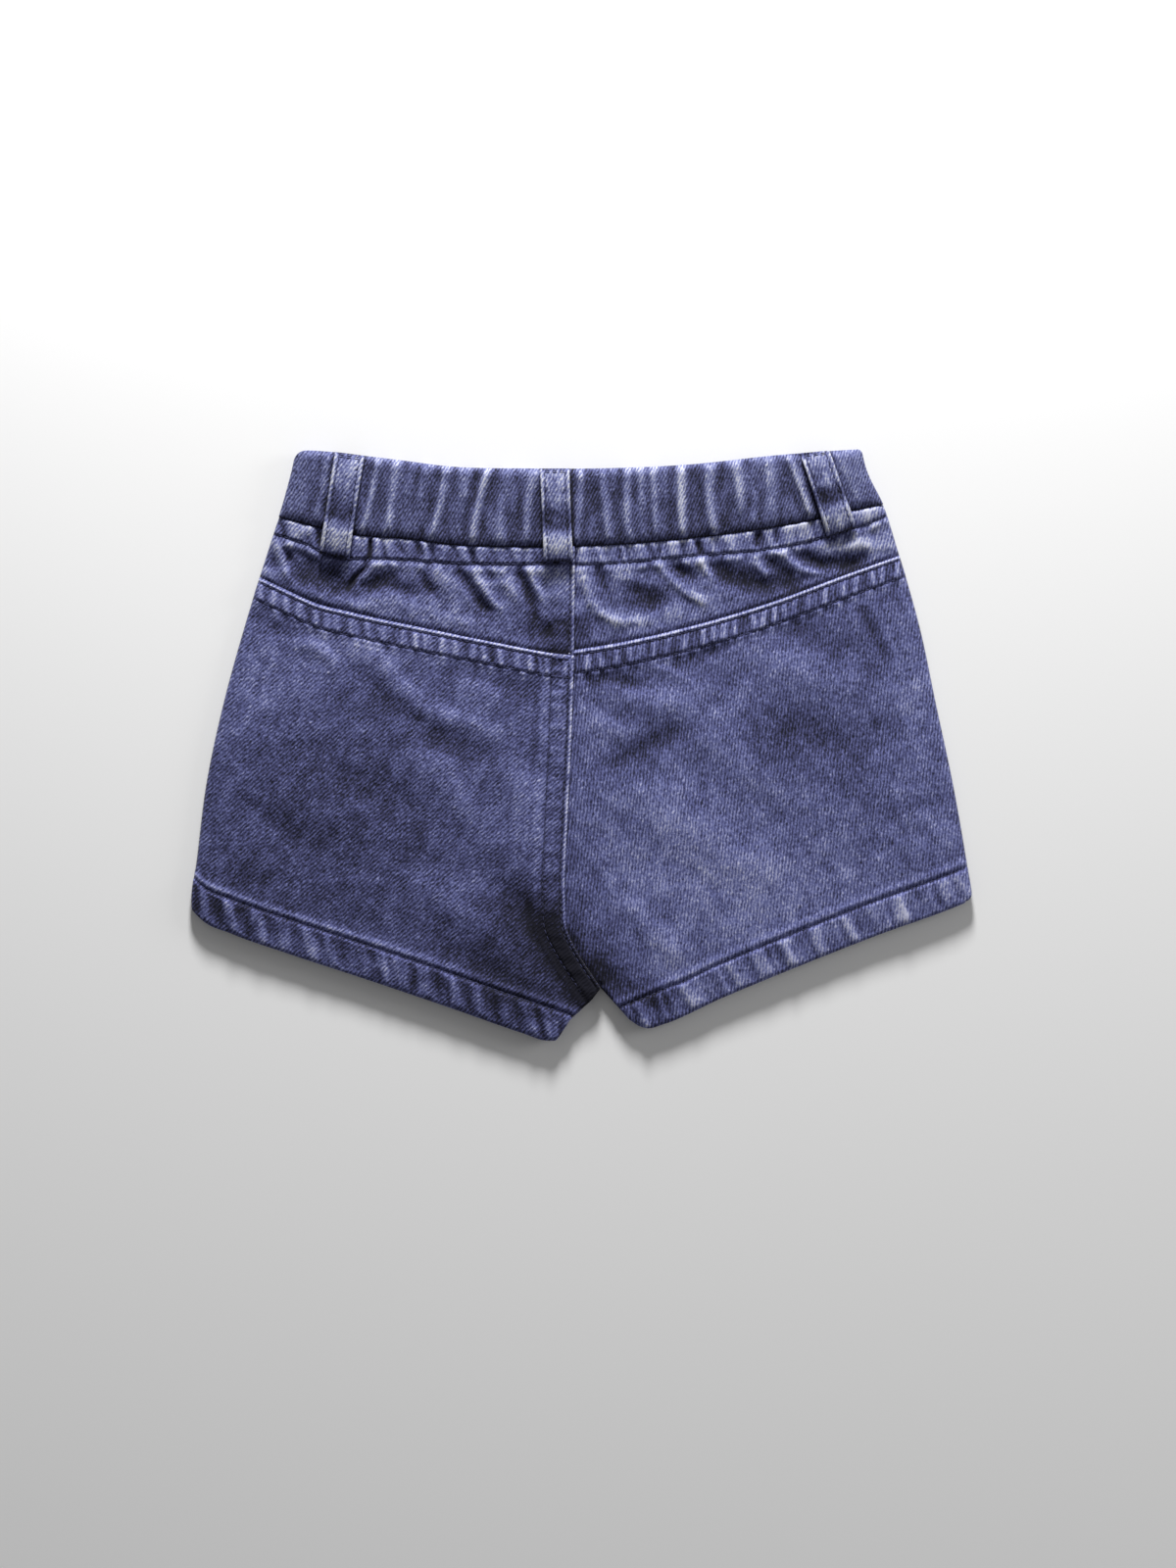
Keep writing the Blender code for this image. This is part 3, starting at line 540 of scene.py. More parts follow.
def yoke(left):
    seam, other = (yoke_left, 0) if left else (yoke_right, 1)

    def relief(x, y):
        to_band = (waist_seam(x) - y) * SQUARE_WAIST
        to_stitch = (y - strip_stitch(x)) * SQUARE_WAIST
        centre = centre_gap(x, y, left)
        above = (y - seam(x)) * SQUARE_YOKE
        folds, wear = crease_sum(YOKE_CREASES, x, y)
        free = roll(side_gap(x, y), 6) * ease(1 - (to_stitch + 2.2) / 3) * ease((above + 1.0) / 4)
        if left:
            free = free * ease((centre - 1) / 7)
        height = BACK_FLOOR + DENIM + air(x, y) + 1.2 * folds * free + 0.5 * tumble(x, y, 41) * free
        crinkle = crinkled(x, y, 4.6, 2.3, 47)
        drawn = rumple(0.8 * x + 0.6 * y, 0.45 * (0.6 * x - 0.8 * y), 4.6, 49)
        height = height + (0.2 * crinkle + 0.3 * drawn) * free
        # Lighter on the ridges of its folds and crinkles and darker in their troughs, as wear and painted
        # light and shade, with broad patches of both.
        wear = wear * (0.2 + 0.8 * free) * 1.15 + patch_sum(YOKE_PATCHES, x, y)
        wear = wear + (0.3 * crinkle + 0.45 * drawn) * free
        # The strip under the waistband: seam allowance inside, a row of stitches at its lower edge.
        strip = ease((to_stitch + 1.0) / 1.6)
        inside = strip * ease(to_band / 1.2)
        blocks = puckers(x, to_band - 3.5, YOKE_REACH, 6.0, 42 + other, 0.1, 0.36)
        notches = puckers(x, to_band - 3.5, YOKE_REACH, 7.0, 44 + other, 0.35, 0.16)
        lumps, lump_wear_and_shade = crease_sum(STRIP_CREASES, x, y)
        height = height + 0.7 * strip + inside * ((blocks - 0.4) * 0.5 - notches * 0.5 + lumps)
        # The strip is painted lighter right of the centre than left of it, a little less past x 60, as
        # painted light; its notches are darker, as painted shade.
        side_tone = -0.2 if left else 0.35 - 0.2 * ease((x - 60) / 12)
        wear = wear + inside * ((blocks - 0.35) * 1.2 - notches * 0.8 + lump_wear_and_shade + 0.2 + side_tone)
        scallops = puckers(x, to_stitch, YOKE_REACH, 5.2, 57 + other, 0.2, 0.34)
        under_row = bump(to_stitch + 2.2, 1.6)
        height = height - 0.4 * bump(to_stitch, 0.5) + (0.2 + 0.5 * scallops) * under_row
        wear = wear - 0.6 * bump(to_stitch, 0.55) + (1.4 * scallops - 0.1) * under_row
        # Painted shadow along the waistband's seam, and a painted highlight on the strip's edge just below
        # it.
        height = height - 1.6 * (1 - roll(to_band + 0.2, 1.6))
        wear = wear - 1.7 * (1 - ease((to_band + 0.4) / 1.2)) + bump(to_band - 1.2, 0.6)
        if left:
            fell, fell_wear_and_shade = seam_rows(centre, y, 46, FELL_ROWS, 0.8, 7.0, 0.3, 0.35)
            # Painted shade on the centre seam's band below y 50, towards the yoke seam, and a little lighter
            # above.
            on_band = between(centre, 1.5, 10, 2) * (-0.15 + ease((50 - y) / 8))
            height, wear = height + fell, wear + fell_wear_and_shade * 0.8 - on_band
        else:
            drop, dark = goes_under(centre)
            height, wear = height - drop, wear - dark
        # It goes down under the legs' lapped edge, in its shadow.
        height = height - 0.35 * (1 - ease((above + 0.2) / 2.2)) - 1.3 * (1 - roll(side_gap(x, y), 3.0))
        return height, wear - 1.1 * bump(above - 0.4, 1.2) + loop_shadow(x, y)

    return relief


BAND_LEAST = 0.9  # the height of its rolled edges


def band_relief(x, y):
    top, low = waist_top(x), waist_seam(x)
    depth = (y - low) / (top - low)
    height, wear = 0 * x, 0 * x
    for g in GATHERS:
        sway = 0.8 * np.sin(3.1 * depth + g.top_x)
        off = x - (g.seam_x + (g.top_x - g.seam_x) * depth) - sway
        covered = ease((depth - g.low + 0.12) / 0.24) * ease((g.high - depth + 0.12) / 0.24)
        wide = g.wide * (1 + g.lean * np.sign(off)) * (0.62 + 0.25 * depth)
        shape = g.height * covered * crest(off, wide)
        # Each gather is lighter, as wear and a painted highlight, with painted shade in the hollows beside
        # it.
        height, wear = height + shape, wear + 1.15 * shape
        flanks = bump(off + 1.5 * g.wide, g.wide * 0.7) + 0.8 * bump(off - 1.6 * g.wide, g.wide * 0.7)
        hollow = covered * g.height * flanks
        height, wear = height - 0.4 * hollow, wear - 0.5 * hollow
    near_top, near_low = bump(1 - depth, 0.24), bump(depth, 0.26)
    crimp = puckers(x, y - top, BAND_REACH, 5.2, 51, 0.1, 0.3)
    pinch = puckers(x, y - low, BAND_REACH, 4.2, 52, -0.1, 0.3)
    height = height + near_top * (crimp - 0.4) * 0.5 + near_low * (pinch - 0.4) * 0.5
    wear = wear + near_top * (crimp - 0.35) * 0.9 + near_low * (pinch - 0.5) * 0.6
    crinkle = rumple(x, y * 0.4, 5.5, 53) + 0.8 * rumple(x, y * 0.5, 2.6, 54)
    height, wear = height + 0.22 * crinkle, wear + 0.35 * crinkle
    ends = roll(side_gap(x, y), 6)
    calm = ease((side_gap(x, y) - 2) / 12)
    round_off = roll(top - y, 4.0) * roll(y - low + 0.5, 4.5) * ends
    # A painted highlight along the rolled top edge, and painted shadow in the seam at its foot.
    wear = wear * calm - 0.25 + 0.35 * bump(top - y - 0.8, 1.4) - 1.8 * bump(y - low + 0.3, 0.6)
    wear = wear + loop_shadow(x, y) + patch_sum(BAND_PATCHES, x, y)
    rise = BAND_LEAST + (BAND_RISE - BAND_LEAST) * round_off
    return BAND_FLOOR + rise + height * round_off * calm, wear


def cloth_top(x, y):
    """The top of whatever lies under a belt loop."""
    on_yoke = np.where(x < centre_back(y), yoke(True)(x, y)[0], yoke(False)(x, y)[0])
    return np.where(y > waist_seam(x), band_relief(x, y)[0], on_yoke)


def edge(points):
    """A polyline as a function of 0 to 1 by length."""
    points = np.array(points, float)
    lengths = np.hypot(*np.diff(points, axis=0).T)
    reach = np.concatenate([[0], np.cumsum(lengths)]) / lengths.sum()
    return lambda t: np.stack([np.interp(t, reach, points[:, 0]), np.interp(t, reach, points[:, 1])])


def inner_leg(first, then):
    """The inner edge of a leg as one: below the crotch, then up the centre seam."""
    first, then = edge(first), edge(then)

    def both(t):
        t = np.asarray(t)
        low, high = np.clip(t / INNER_SHARE, 0, 1), np.clip((t - INNER_SHARE) / (1 - INNER_SHARE), 0, 1)
        return np.where(t < INNER_SHARE, first(low), then(high))

    return both


def run_x(curve, start, end, lift=0.0, steps=120):
    xs = np.linspace(start, end, steps)
    return [(x, curve(x) + lift) for x in xs]


def run_y(curve, start, end, shift=0.0, steps=120):
    ys = np.linspace(start, end, steps)
    return [(curve(y) + shift, y) for y in ys]


def fill(low, high, first, last):
    """Fills four edges with a smooth grid: low and high run across, first and last run up."""
    low, high, first, last = (side if callable(side) else edge(side) for side in (low, high, first, last))

    def place(u, v):
        corners = (
            (1 - u) * (1 - v) * low(0.0)[:, None, None]
            + u * (1 - v) * low(1.0)[:, None, None]
            + (1 - u) * v * high(0.0)[:, None, None]
            + u * v * high(1.0)[:, None, None]
        )
        return (1 - v) * low(u) + v * high(u) + (1 - u) * first(v) + u * last(v) - corners

    return place


def spaced(*spans):
    """Shares from 0 to 1 for spans of (length, step), in millimetres."""
    at, made = 0.0, [0.0]
    for length, step in spans:
        count = max(1, round(length / step))
        made.extend(at + length * (k + 1) / count for k in range(count))
        at += length
    return np.array(made) / at


def add_mesh(name, vertices, faces, material):
    mesh = bpy.data.meshes.new(name)
    mesh.from_pydata((np.asarray(vertices) * MM).tolist(), [], faces)
    mesh.shade_smooth()
    made = bpy.data.objects.new(name, mesh)
    bpy.context.scene.collection.objects.link(made)
    mesh.materials.append(material)
    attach(made, "root")
    return made


def shell(name, replaces, slot, warp, across, along, grid, relief, under, back_wear_and_shade=0.3):
    """A closed shell of cloth: its face, its back and the edge between, with its weave laid out.

    Warp is the way its warp yarns run, in degrees from +X, and across and along hold the shares at
    which its grid has columns and rows. The back has only a share of the face's wear and painted shade.
    """
    u, v = np.meshgrid(across, along)
    x, y = grid(u, v)
    height, wear = relief(x, y)
    low = np.minimum(under(x, y, height), height - THINNEST)
    face, back = (np.stack([x, y - MIDDLE_Y, z], axis=-1).reshape(-1, 3) for z in (height, low))
    count = len(face)
    number = np.arange(count).reshape(u.shape)
    corners = number[:-1, :-1], number[:-1, 1:], number[1:, 1:], number[1:, :-1]
    quads = np.stack(corners, axis=-1).reshape(-1, 4)
    ring = np.concatenate([number[0, :-1], number[:-1, -1], number[-1, :0:-1], number[:0:-1, 0]])
    after = np.roll(ring, -1)
    walls = np.stack([ring + count, after + count, after, ring], axis=-1)
    faces = np.concatenate([quads, quads[:, ::-1] + count, walls])
    made = add_mesh(name, np.concatenate([face, back]), faces.tolist(), finishes[slot])
    mesh = made.data
    turn = np.radians(warp(x, y) if callable(warp) else warp + 0 * x)
    # The weave runs on down the edge, so that its back lies a cloth's thickness further on.
    x, y = np.stack([x, x]), np.stack([y, y + height - low])
    weave = np.stack([x * np.sin(turn) - y * np.cos(turn), x * np.cos(turn) + y * np.sin(turn)], axis=-1)
    weave = weave.reshape(-1, 2) / WEAVE_UNIT
    loops = np.zeros(len(mesh.loops), np.int32)
    mesh.loops.foreach_get("vertex_index", loops)
    mesh.uv_layers.new(name="weave").data.foreach_set("uv", weave[loops].astype(np.float32).ravel())
    # This attribute holds real wear together with painted shade in hollows, folds, seams and under lapped
    # pieces, and painted highlights on ridges.
    attribute = mesh.attributes.new("wear", "FLOAT", "POINT")
    attribute.data.foreach_set("value", np.stack([wear, wear * back_wear_and_shade]).ravel().astype(np.float32))
    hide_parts(replaces)
    return made


def below(thick):
    return lambda x, y, height: np.maximum(height - thick, BACK_FLOOR)


class Value:
    """A shader socket whose arithmetic adds Math nodes."""

    def __init__(self, finish, socket):
        self.finish, self.socket = finish, socket

    def maths(self, operation, *values):
        return self.finish.node("ShaderNodeMath", {"operation": operation}, dict(enumerate(values)))

    def __add__(self, other):
        return self.maths("ADD", self, other)

    def __sub__(self, other):
        return self.maths("SUBTRACT", self, other)

    def __mul__(self, other):
        return self.maths("MULTIPLY", self, other)

    def __truediv__(self, other):
        return self.maths("DIVIDE", self, other)

    def sine(self):
        return self.maths("SINE", self)

    def clipped(self, low, high):
        return self.finish.node("ShaderNodeClamp", {}, {"Value": self, "Min": low, "Max": high})


class Finish:
    """A material and its one way of adding a node."""

    def __init__(self, name, roughness, sheen=0.0, specular=0.2):
        self.material = bpy.data.materials.new(name)
        self.material.use_nodes = True
        self.tree = self.material.node_tree
        self.shader = self.tree.nodes["Principled BSDF"]
        plain = {
            "Roughness": roughness,
            "Sheen Weight": sheen,
            "Sheen Roughness": 0.45,
            "Specular IOR Level": specular,
        }
        for socket, value in plain.items():
            self.shader.inputs[socket].default_value = value

    def node(self, kind, settings, inputs, out=0):
        made = self.tree.nodes.new(kind)
        for name, value in settings.items():
            if name == "stops":
                ramp = made.color_ramp
                while len(ramp.elements) < len(value):
                    ramp.elements.new(0.5)
                for element, (at, colour) in zip(ramp.elements, value):
                    element.position, element.color = at, (*colour, 1)
            else:
                setattr(made, name, value)
        for name, value in inputs.items():
            self.put(made.inputs[name], value)
        return Value(self, made.outputs[out])

    def put(self, socket, value):
        if isinstance(value, Value):
            self.tree.links.new(value.socket, socket)
        else:
            socket.default_value = value

    def noise(self, at, scale, detail=2.0, stretch=(1, 1, 1)):
        placed = self.node("ShaderNodeMapping", {}, {"Vector": at, "Scale": stretch})
        settled = {"Vector": placed, "Scale": scale, "Detail": detail}
        return self.node("ShaderNodeTexNoise", {}, settled, "Fac")


# Washed indigo from the near black of painted shade in its deepest hollows to a worn edge.
INDIGO = [
    (0.00, (0.006, 0.006, 0.015)),
    (0.16, (0.020, 0.021, 0.056)),
    (0.34, (0.049, 0.052, 0.136)),
    (0.50, (0.093, 0.102, 0.243)),
    (0.64, (0.152, 0.168, 0.342)),
    (0.80, (0.272, 0.287, 0.445)),
    (1.00, (0.490, 0.500, 0.585)),
]
WEAVE_UNIT = 10.0  # the weave is laid out in centimetres, and so are these
TWILL_PITCH = 0.12
TWILL_SLANT = np.radians(29)
FLOAT_LONG = 0.15  # how far one yarn shows before it dips under


def denim(name, tone, blue, bright_blue):
    """Right-hand twill of dyed warp over pale weft, faded by the cloth's own wear and darkened or lightened
    by the painted shade and highlights held in the same attribute.
    """
    f = Finish(name, 0.88, sheen=0.12)
    stops = [(at, (r, g, b * blue * (1 + bright_blue * (at - 0.35)))) for at, (r, g, b) in INDIGO]
    weave = f.node("ShaderNodeUVMap", {"uv_map": "weave"}, {})
    parts = f.node("ShaderNodeSeparateXYZ", {}, {"Vector": weave})
    across, up = parts, Value(f, parts.socket.node.outputs["Y"])
    # The attribute read here holds the cloth's wear and its painted shade and highlights alike.
    wear = f.node("ShaderNodeAttribute", {"attribute_name": "wear"}, {}, "Fac")
    wobble = f.noise(weave, 8.0, 2.0, (1, 0.4, 1))
    line = (across * np.cos(TWILL_SLANT) - up * np.sin(TWILL_SLANT)) / TWILL_PITCH + wobble * 1.1
    along = (across * np.sin(TWILL_SLANT) + up * np.cos(TWILL_SLANT)) / FLOAT_LONG
    rib = (line * (2 * np.pi)).sine()
    yarns = f.node("ShaderNodeCombineXYZ", {}, {"X": line * 1.7, "Y": along})
    floats = f.noise(yarns, 1.0, 1.5)
    grain = f.noise(weave, 15.0, 2.0, (1, 0.7, 1))
    neps = ((f.noise(weave, 10.0, 1.0) - 0.66) * 5.0).clipped(0.0, 1.0)
    streaks = f.noise(weave, 3.6, 2.0, (1, 0.3, 1))
    blotches = f.noise(weave, 1.7, 3.0)
    clouds = f.noise(weave, 0.5, 3.0)
    shade = (
        wear * 0.25
        + rib * 0.15
        + (floats - 0.5) * 0.78
        + (grain - 0.5) * 0.55
        + neps * 0.35
        + (streaks - 0.5) * 0.34
        + (blotches - 0.5) * 0.24
        + (clouds - 0.5) * 0.18
        + tone
    )
    colour = f.node("ShaderNodeValToRGB", {"stops": stops}, {"Fac": shade.clipped(0.0, 1.0)}, "Color")
    f.put(f.shader.inputs["Base Color"], colour)
    relief = rib * 0.6 + (floats - 0.5) * 1.4 + (grain - 0.5)
    normal = f.node("ShaderNodeBump", {}, {"Height": relief, "Strength": 0.5, "Distance": 0.00014}, "Normal")
    f.put(f.shader.inputs["Normal"], normal)
    return f.material


def thread(name, colour):
    f = Finish(name, 0.7, sheen=0.1)
    place = f.node("ShaderNodeTexCoord", {}, {}, "Object")
    tint = f.noise(place, 900.0, 2.0)
    mixed = f.node(
        "ShaderNodeValToRGB",
        {"stops": [(0.3, tuple(0.6 * c for c in colour)), (0.7, tuple(1.5 * c for c in colour))]},
        {"Fac": tint},
        "Color",
    )
    f.put(f.shader.inputs["Base Color"], mixed)
    return f.material


finishes = {
    "denim_leg": denim("washed_denim_leg", 0.445, 0.98, 0.25),
    "denim_yoke": denim("washed_denim_yoke", 0.465, 0.98, 0.08),
    "denim_band": denim("washed_denim_waistband", 0.455, 0.93, 0.1),
    "denim_loop": denim("washed_denim_loop", 0.53, 0.95, 0.05),
    "denim_front": denim("washed_denim_front", 0.44, 0.98, 0.25),
}
navy_thread = thread("navy_thread", (0.034, 0.037, 0.090))

# ---------------------------------------------------------------- the back
SIDE_STEPS = (4, 0.5)
LEG_ROWS = spaced((2, 0.5), (8.5, 0.7), (5.5, 0.45), (12, 0.8), (98, 0.95), (12, 0.5), (3, 0.35))
YOKE_ROWS = spaced((3, 0.45), (20, 0.5), (11, 0.45), (2, 0.35))
YOKE_ENDS = (-120.5, 118.5)  # where the yoke seams and the waistband's seam meet the sides
WAIST_ENDS = (-112.5, 112.3)
LEFT_CENTRE, RIGHT_CENTRE, WAIST_CENTRE = -2.5, -2.6, -2.2  # and where they meet the centre seam
CROTCH = CENTRE[0].y
CORNER_Y = -54.6  # the right leg's outer corner, over its round of 2.6 by 3.2
turn = np.linspace(0, np.pi / 2, 8)
corner = list(zip(side_right(CORNER_Y) - 2.6 * (1 - np.sin(turn)), CORNER_Y - 3.2 * np.cos(turn)))


def both_sides(name, node, slot, warps, columns, rows, grids, reliefs, unders, back_wear_and_shade=0.3):
    """The shells of a left piece and of its right partner."""
    for i, side in enumerate(("left", "right")):
        across, names = spaced(*columns[i]), (f"{name}_{side}", f"{node}_{side}")
        shell(*names, slot, warps[i], across, rows, grids[i], reliefs[i], unders[i], back_wear_and_shade)


left_side = run_y(side_left, HEM_LEFT[0].y, yoke_left(YOKE_ENDS[0]))
right_side = run_y(side_right, CORNER_Y, yoke_right(YOKE_ENDS[1]))
left_centre = run_y(centre_back, CROTCH, yoke_left(LEFT_CENTRE))
right_centre = run_y(centre_back, CROTCH, yoke_right(RIGHT_CENTRE))
right_centre = [(x - TUCKED * ease((y - CROTCH) / 12), y) for x, y in right_centre]
left_grid = fill(
    run_x(hem_left, HEM_LEFT[0].x, HEM_LEFT[-1].x),
    run_x(yoke_left, left_side[-1][0], LEFT_CENTRE),
    left_side,
    inner_leg(INNER_LEFT, left_centre),
)
right_grid = fill(
    run_x(hem_right, HEM_RIGHT[0].x, 142.6) + corner,
    run_x(yoke_right, RIGHT_CENTRE - TUCKED, right_side[-1][0]),
    inner_leg(INNER_RIGHT, right_centre),
    right_side,
)
both_sides(
    "leg_back",
    "back",
    "denim_leg",
    (70.0, 112.0),
    ([SIDE_STEPS, (108, 0.85), (14, 0.5), (3, 0.3)], [(5, 0.5), (120, 0.85), SIDE_STEPS]),
    LEG_ROWS,
    (left_grid, right_grid),
    (leg(True), leg(False)),
    (below(1.1), below(0.9)),
)

left_side = run_y(side_left, yoke_left(YOKE_ENDS[0]) - TUCKED, waist_seam(WAIST_ENDS[0]))
right_side = run_y(side_right, yoke_right(YOKE_ENDS[1]) - TUCKED, waist_seam(WAIST_ENDS[1]))
left_grid = fill(
    run_x(yoke_left, left_side[0][0], LEFT_CENTRE, -TUCKED),
    run_x(waist_seam, left_side[-1][0], WAIST_CENTRE),
    left_side,
    run_y(centre_back, yoke_left(LEFT_CENTRE) - TUCKED, waist_seam(WAIST_CENTRE)),
)
right_grid = fill(
    run_x(yoke_right, -2.4 - TUCKED, right_side[0][0], -TUCKED),
    run_x(waist_seam, WAIST_CENTRE - TUCKED, right_side[-1][0]),
    run_y(centre_back, yoke_right(-2.4) - TUCKED, waist_seam(WAIST_CENTRE), -TUCKED),
    right_side,
)
both_sides(
    "yoke_back",
    "yoke",
    "denim_yoke",
    (79.0, 104.0),
    ([SIDE_STEPS, (96, 0.55), (14, 0.5), (3, 0.3)], [(5, 0.5), (110, 0.55), SIDE_STEPS]),
    YOKE_ROWS,
    (left_grid, right_grid),
    (yoke(True), yoke(False)),
    (below(0.9), below(0.9)),
)

left_low, right_low = waist_seam(-112.0), waist_seam(112.2)
# The sides end at x = side and the top at y = top, a round's radius away from each corner.
Corner = namedtuple("Corner", "side top round way")
BAND_CORNERS = [Corner(side_left(104.3), 109.5, 5.0, 1), Corner(side_right(107.8), 110.0, 2.2, -1)]


def band_grid(inset, lift):
    """The waistband's outline, with its two rounded corners."""
    turn = np.linspace(0, np.pi / 2, 12)
    rounds = []
    for c in BAND_CORNERS:
        x = c.side + c.way * (inset + c.round * (1 - np.cos(turn)))
        rounds.append(list(zip(x, c.top - inset - c.round * (1 - np.sin(turn)))))
    left, right = (c.side + c.way * (inset + c.round + 1) for c in BAND_CORNERS)
    return fill(
        run_x(waist_seam, side_left(left_low) + inset, side_right(right_low) - inset, lift),
        rounds[0] + run_x(waist_top, left, right, -inset) + rounds[1][::-1],
        run_y(side_left, left_low, BAND_CORNERS[0].top - inset - BAND_CORNERS[0].round, inset),
        run_y(side_right, right_low, BAND_CORNERS[1].top - inset - BAND_CORNERS[1].round, -inset),
    )


shell(
    "casing_back",
    "waistband_back",
    "denim_band",
    lambda x, y: 90 + 0.07 * x,
    spaced((3, 0.4), (218, 0.5), (3, 0.4)),
    spaced((3, 0.3), (22, 0.6), (4.5, 0.35)),
    band_grid(0.0, 0.1),
    band_relief,
    lambda x, y, height: BAND_FLOOR + 0 * x,
)

# ---------------------------------------------------------------- the belt loops
Station = namedtuple("Station", "share lift wear")
# How high a loop stands off the cloth along its length, and how light it is: wear and a painted highlight
# where it stands up, painted shade where it dips.
LOOP_RUN = [Station(*row) for row in [
    (0, 0.25, 0), (0.06, 0.45, 0.5), (0.2, 1, 0.4), (0.4, 1.1, 0), (0.55, 0.6, -1.1), (0.66, 0.7, -0.6),
    (0.76, 1.6, 0.8), (0.92, 1.3, 0.5), (1, 0.5, -0.5),
]]
LOOP_THICK = 1.6
LOOP_EDGE_ROW = 1.6  # its side stitches, from its edges
loop_lift = through(LOOP_RUN, "share", "lift")
loop_wear_and_shade = through(LOOP_RUN, "share", "wear")


def loop_parts(loop):
    """A loop's grid, its relief and its under side."""
    top = np.array([loop.top_x, waist_top(loop.top_x) - 0.2])
    run = np.array([loop.low_x, loop.low_y]) - top
    length = np.hypot(*run)
    ahead = run / length

    def grid(u, v):
        # Columns run to the right and rows run up, as on every piece.
        across = (u - 0.5) * LOOP_WIDE * (1 - 0.03 * np.sin(np.pi * v))
        top_y = waist_top(loop.top_x + across) - 0.2
        low_y = loop.low_y + (u - 0.5) * loop.slant
        return loop.top_x + (loop.low_x - loop.top_x) * (1 - v) + across, top_y + (low_y - top_y) * (1 - v)

    stations = np.linspace(0, 1, 21)
    u, v = np.meshgrid(np.linspace(0, 1, 13), 1 - stations)
    highest = cloth_top(*grid(u, v)).max(axis=1)
    rest = np.convolve(np.pad(highest, 2, mode="edge"), np.ones(5) / 5, mode="valid")
    rest = np.maximum(rest, highest - 0.2)

    def where(x, y):
        dx, dy = x - top[0], y - top[1]
        return np.clip((dx * ahead[0] + dy * ahead[1]) / length, 0, 1), dy * ahead[0] - dx * ahead[1]

    def under(x, y, height=None):
        share, _ = where(x, y)
        return np.interp(share, stations, rest) + loop_lift(share)

    def relief(x, y):
        share, off = where(x, y)
        gap = LOOP_WIDE / 2 - np.abs(off)
        row = bump(gap - LOOP_EDGE_ROW, 0.4)
        ends = np.minimum(share, 1 - share) * length
        height = under(x, y) + LOOP_THICK - 0.7 * (1 - roll(gap, 1.1)) - 0.3 * row + 0.3 * bump(off, 2.6)
        rough = rumple(x, y, 2.6, 61) + rumple(off * 1.6, share * 6, 1.1, 62)
        # Its edges are worn pale; its stitch rows and its turned ends are painted darker, as shade.
        wear = loop_wear_and_shade(share) + 0.9 * bump(gap - 0.5, 0.55) - 0.7 * row + 0.45 * rough - bump(ends, 0.5)
        return height - 0.8 * (1 - roll(ends, 1.2)) + 0.12 * rough, wear

    return grid, relief, under


loop_rows = []
for loop in LOOPS:
    grid, relief, under = loop_parts(loop)
    shell(
        "loop_" + loop.node.split("_")[-1],
        loop.node,
        "denim_loop",
        np.degrees(np.arctan2(waist_top(loop.top_x) - loop.low_y, loop.top_x - loop.low_x)),
        spaced((1.2, 0.25), (8.6, 0.45), (1.2, 0.25)),
        spaced((1.5, 0.3), (31, 0.55), (1.5, 0.3)),
        grid,
        relief,
        under,
    )
    down = [(np.full(40, u), np.linspace(0.03, 0.97, 40)) for u in (0.155, 0.845)]
    over = [(np.linspace(0.12, 0.88, 12), np.full(12, v)) for v in (0.975, 0.955)]
    loop_rows.extend((list(zip(*grid(u, v))), relief) for u, v in down + over)

# ---------------------------------------------------------------- the front, face down
FRONT_CREASES = [crease(*row) for row in [
    (0.6, 5, 0.3, -110, 60, -80, 40, -55, 12), (0.6, 6, 0.3, -120, 0, -90, -20, -50, -35),
    (0.7, 6, -0.4, -40, -45, -20, -65, 0, -85), (0.6, 5, 0.3, 100, 62, 76, 40, 48, 18),
    (0.6, 6, 0.3, 118, -5, 90, -22, 52, -30), (0.7, 6, -0.4, 45, -40, 30, -62, 14, -82),
]]
FRONT_TOP = DENIM - 0.05
FRONT_ROWS = spaced((14, 0.9), (140, 1.9))


def front_marks(x, y):
    """Where the front's hem, its centre seam, its roping and its folds are."""
    hem = hem_gap(x, y)
    ropes = puckers(x, hem, HEM_REACH, 8.0, 71, 0.4, 0.25)
    in_hem = between(hem, 1.5, HEM_DEPTH - 1, 2)
    return hem, np.abs(x - front_centre(y)), ropes, in_hem, crease_sum(FRONT_CREASES, x, y)


def front_under(x, y, height=None):
    hem, seam, ropes, in_hem, (folds, _) = front_marks(x, y)
    lift = 0.30 * ease((hem - HEM_DEPTH) / 1.5) * ease((seam - 6) / 1.5) + np.maximum(folds, 0) * 0.8
    for row in [bump(hem - HEM_DEPTH, 0.6)] + [bump(seam - at, 0.5) for at in FRONT_SEAM_ROWS]:
        lift = np.maximum(lift, 0.40 * row)
    rise = 1.0 * (1 - roll(side_gap(x, y) - INSET, 3.0)) + 0.5 * (1 - roll(hem - INSET, 1.0))
    return np.minimum(lift + in_hem * (1 - ropes) * 0.25 + rise, FRONT_TOP - 0.35)


def front_relief(x, y):
    hem, seam, ropes, in_hem, (_, wear) = front_marks(x, y)
    wear = wear + 0.3 * rumple(x, y, 18, 72) + 0.8 * bump(seam - 0.3, 0.6)
    return FRONT_TOP + 0 * x, wear + in_hem * (ropes - 0.4) * 0.8 - 0.8 * bump(hem - HEM_DEPTH, 0.6)


def front_inner(inner, side):
    crotch, top = FRONT_CENTRE[0], 74.0 - HALF
    below_crotch = [(p.x, p.y + INSET) for p in inner[:-1]] + [(crotch.x + side * HALF, crotch.y)]
    return inner_leg(below_crotch, run_y(front_centre, crotch.y, top, side * HALF))


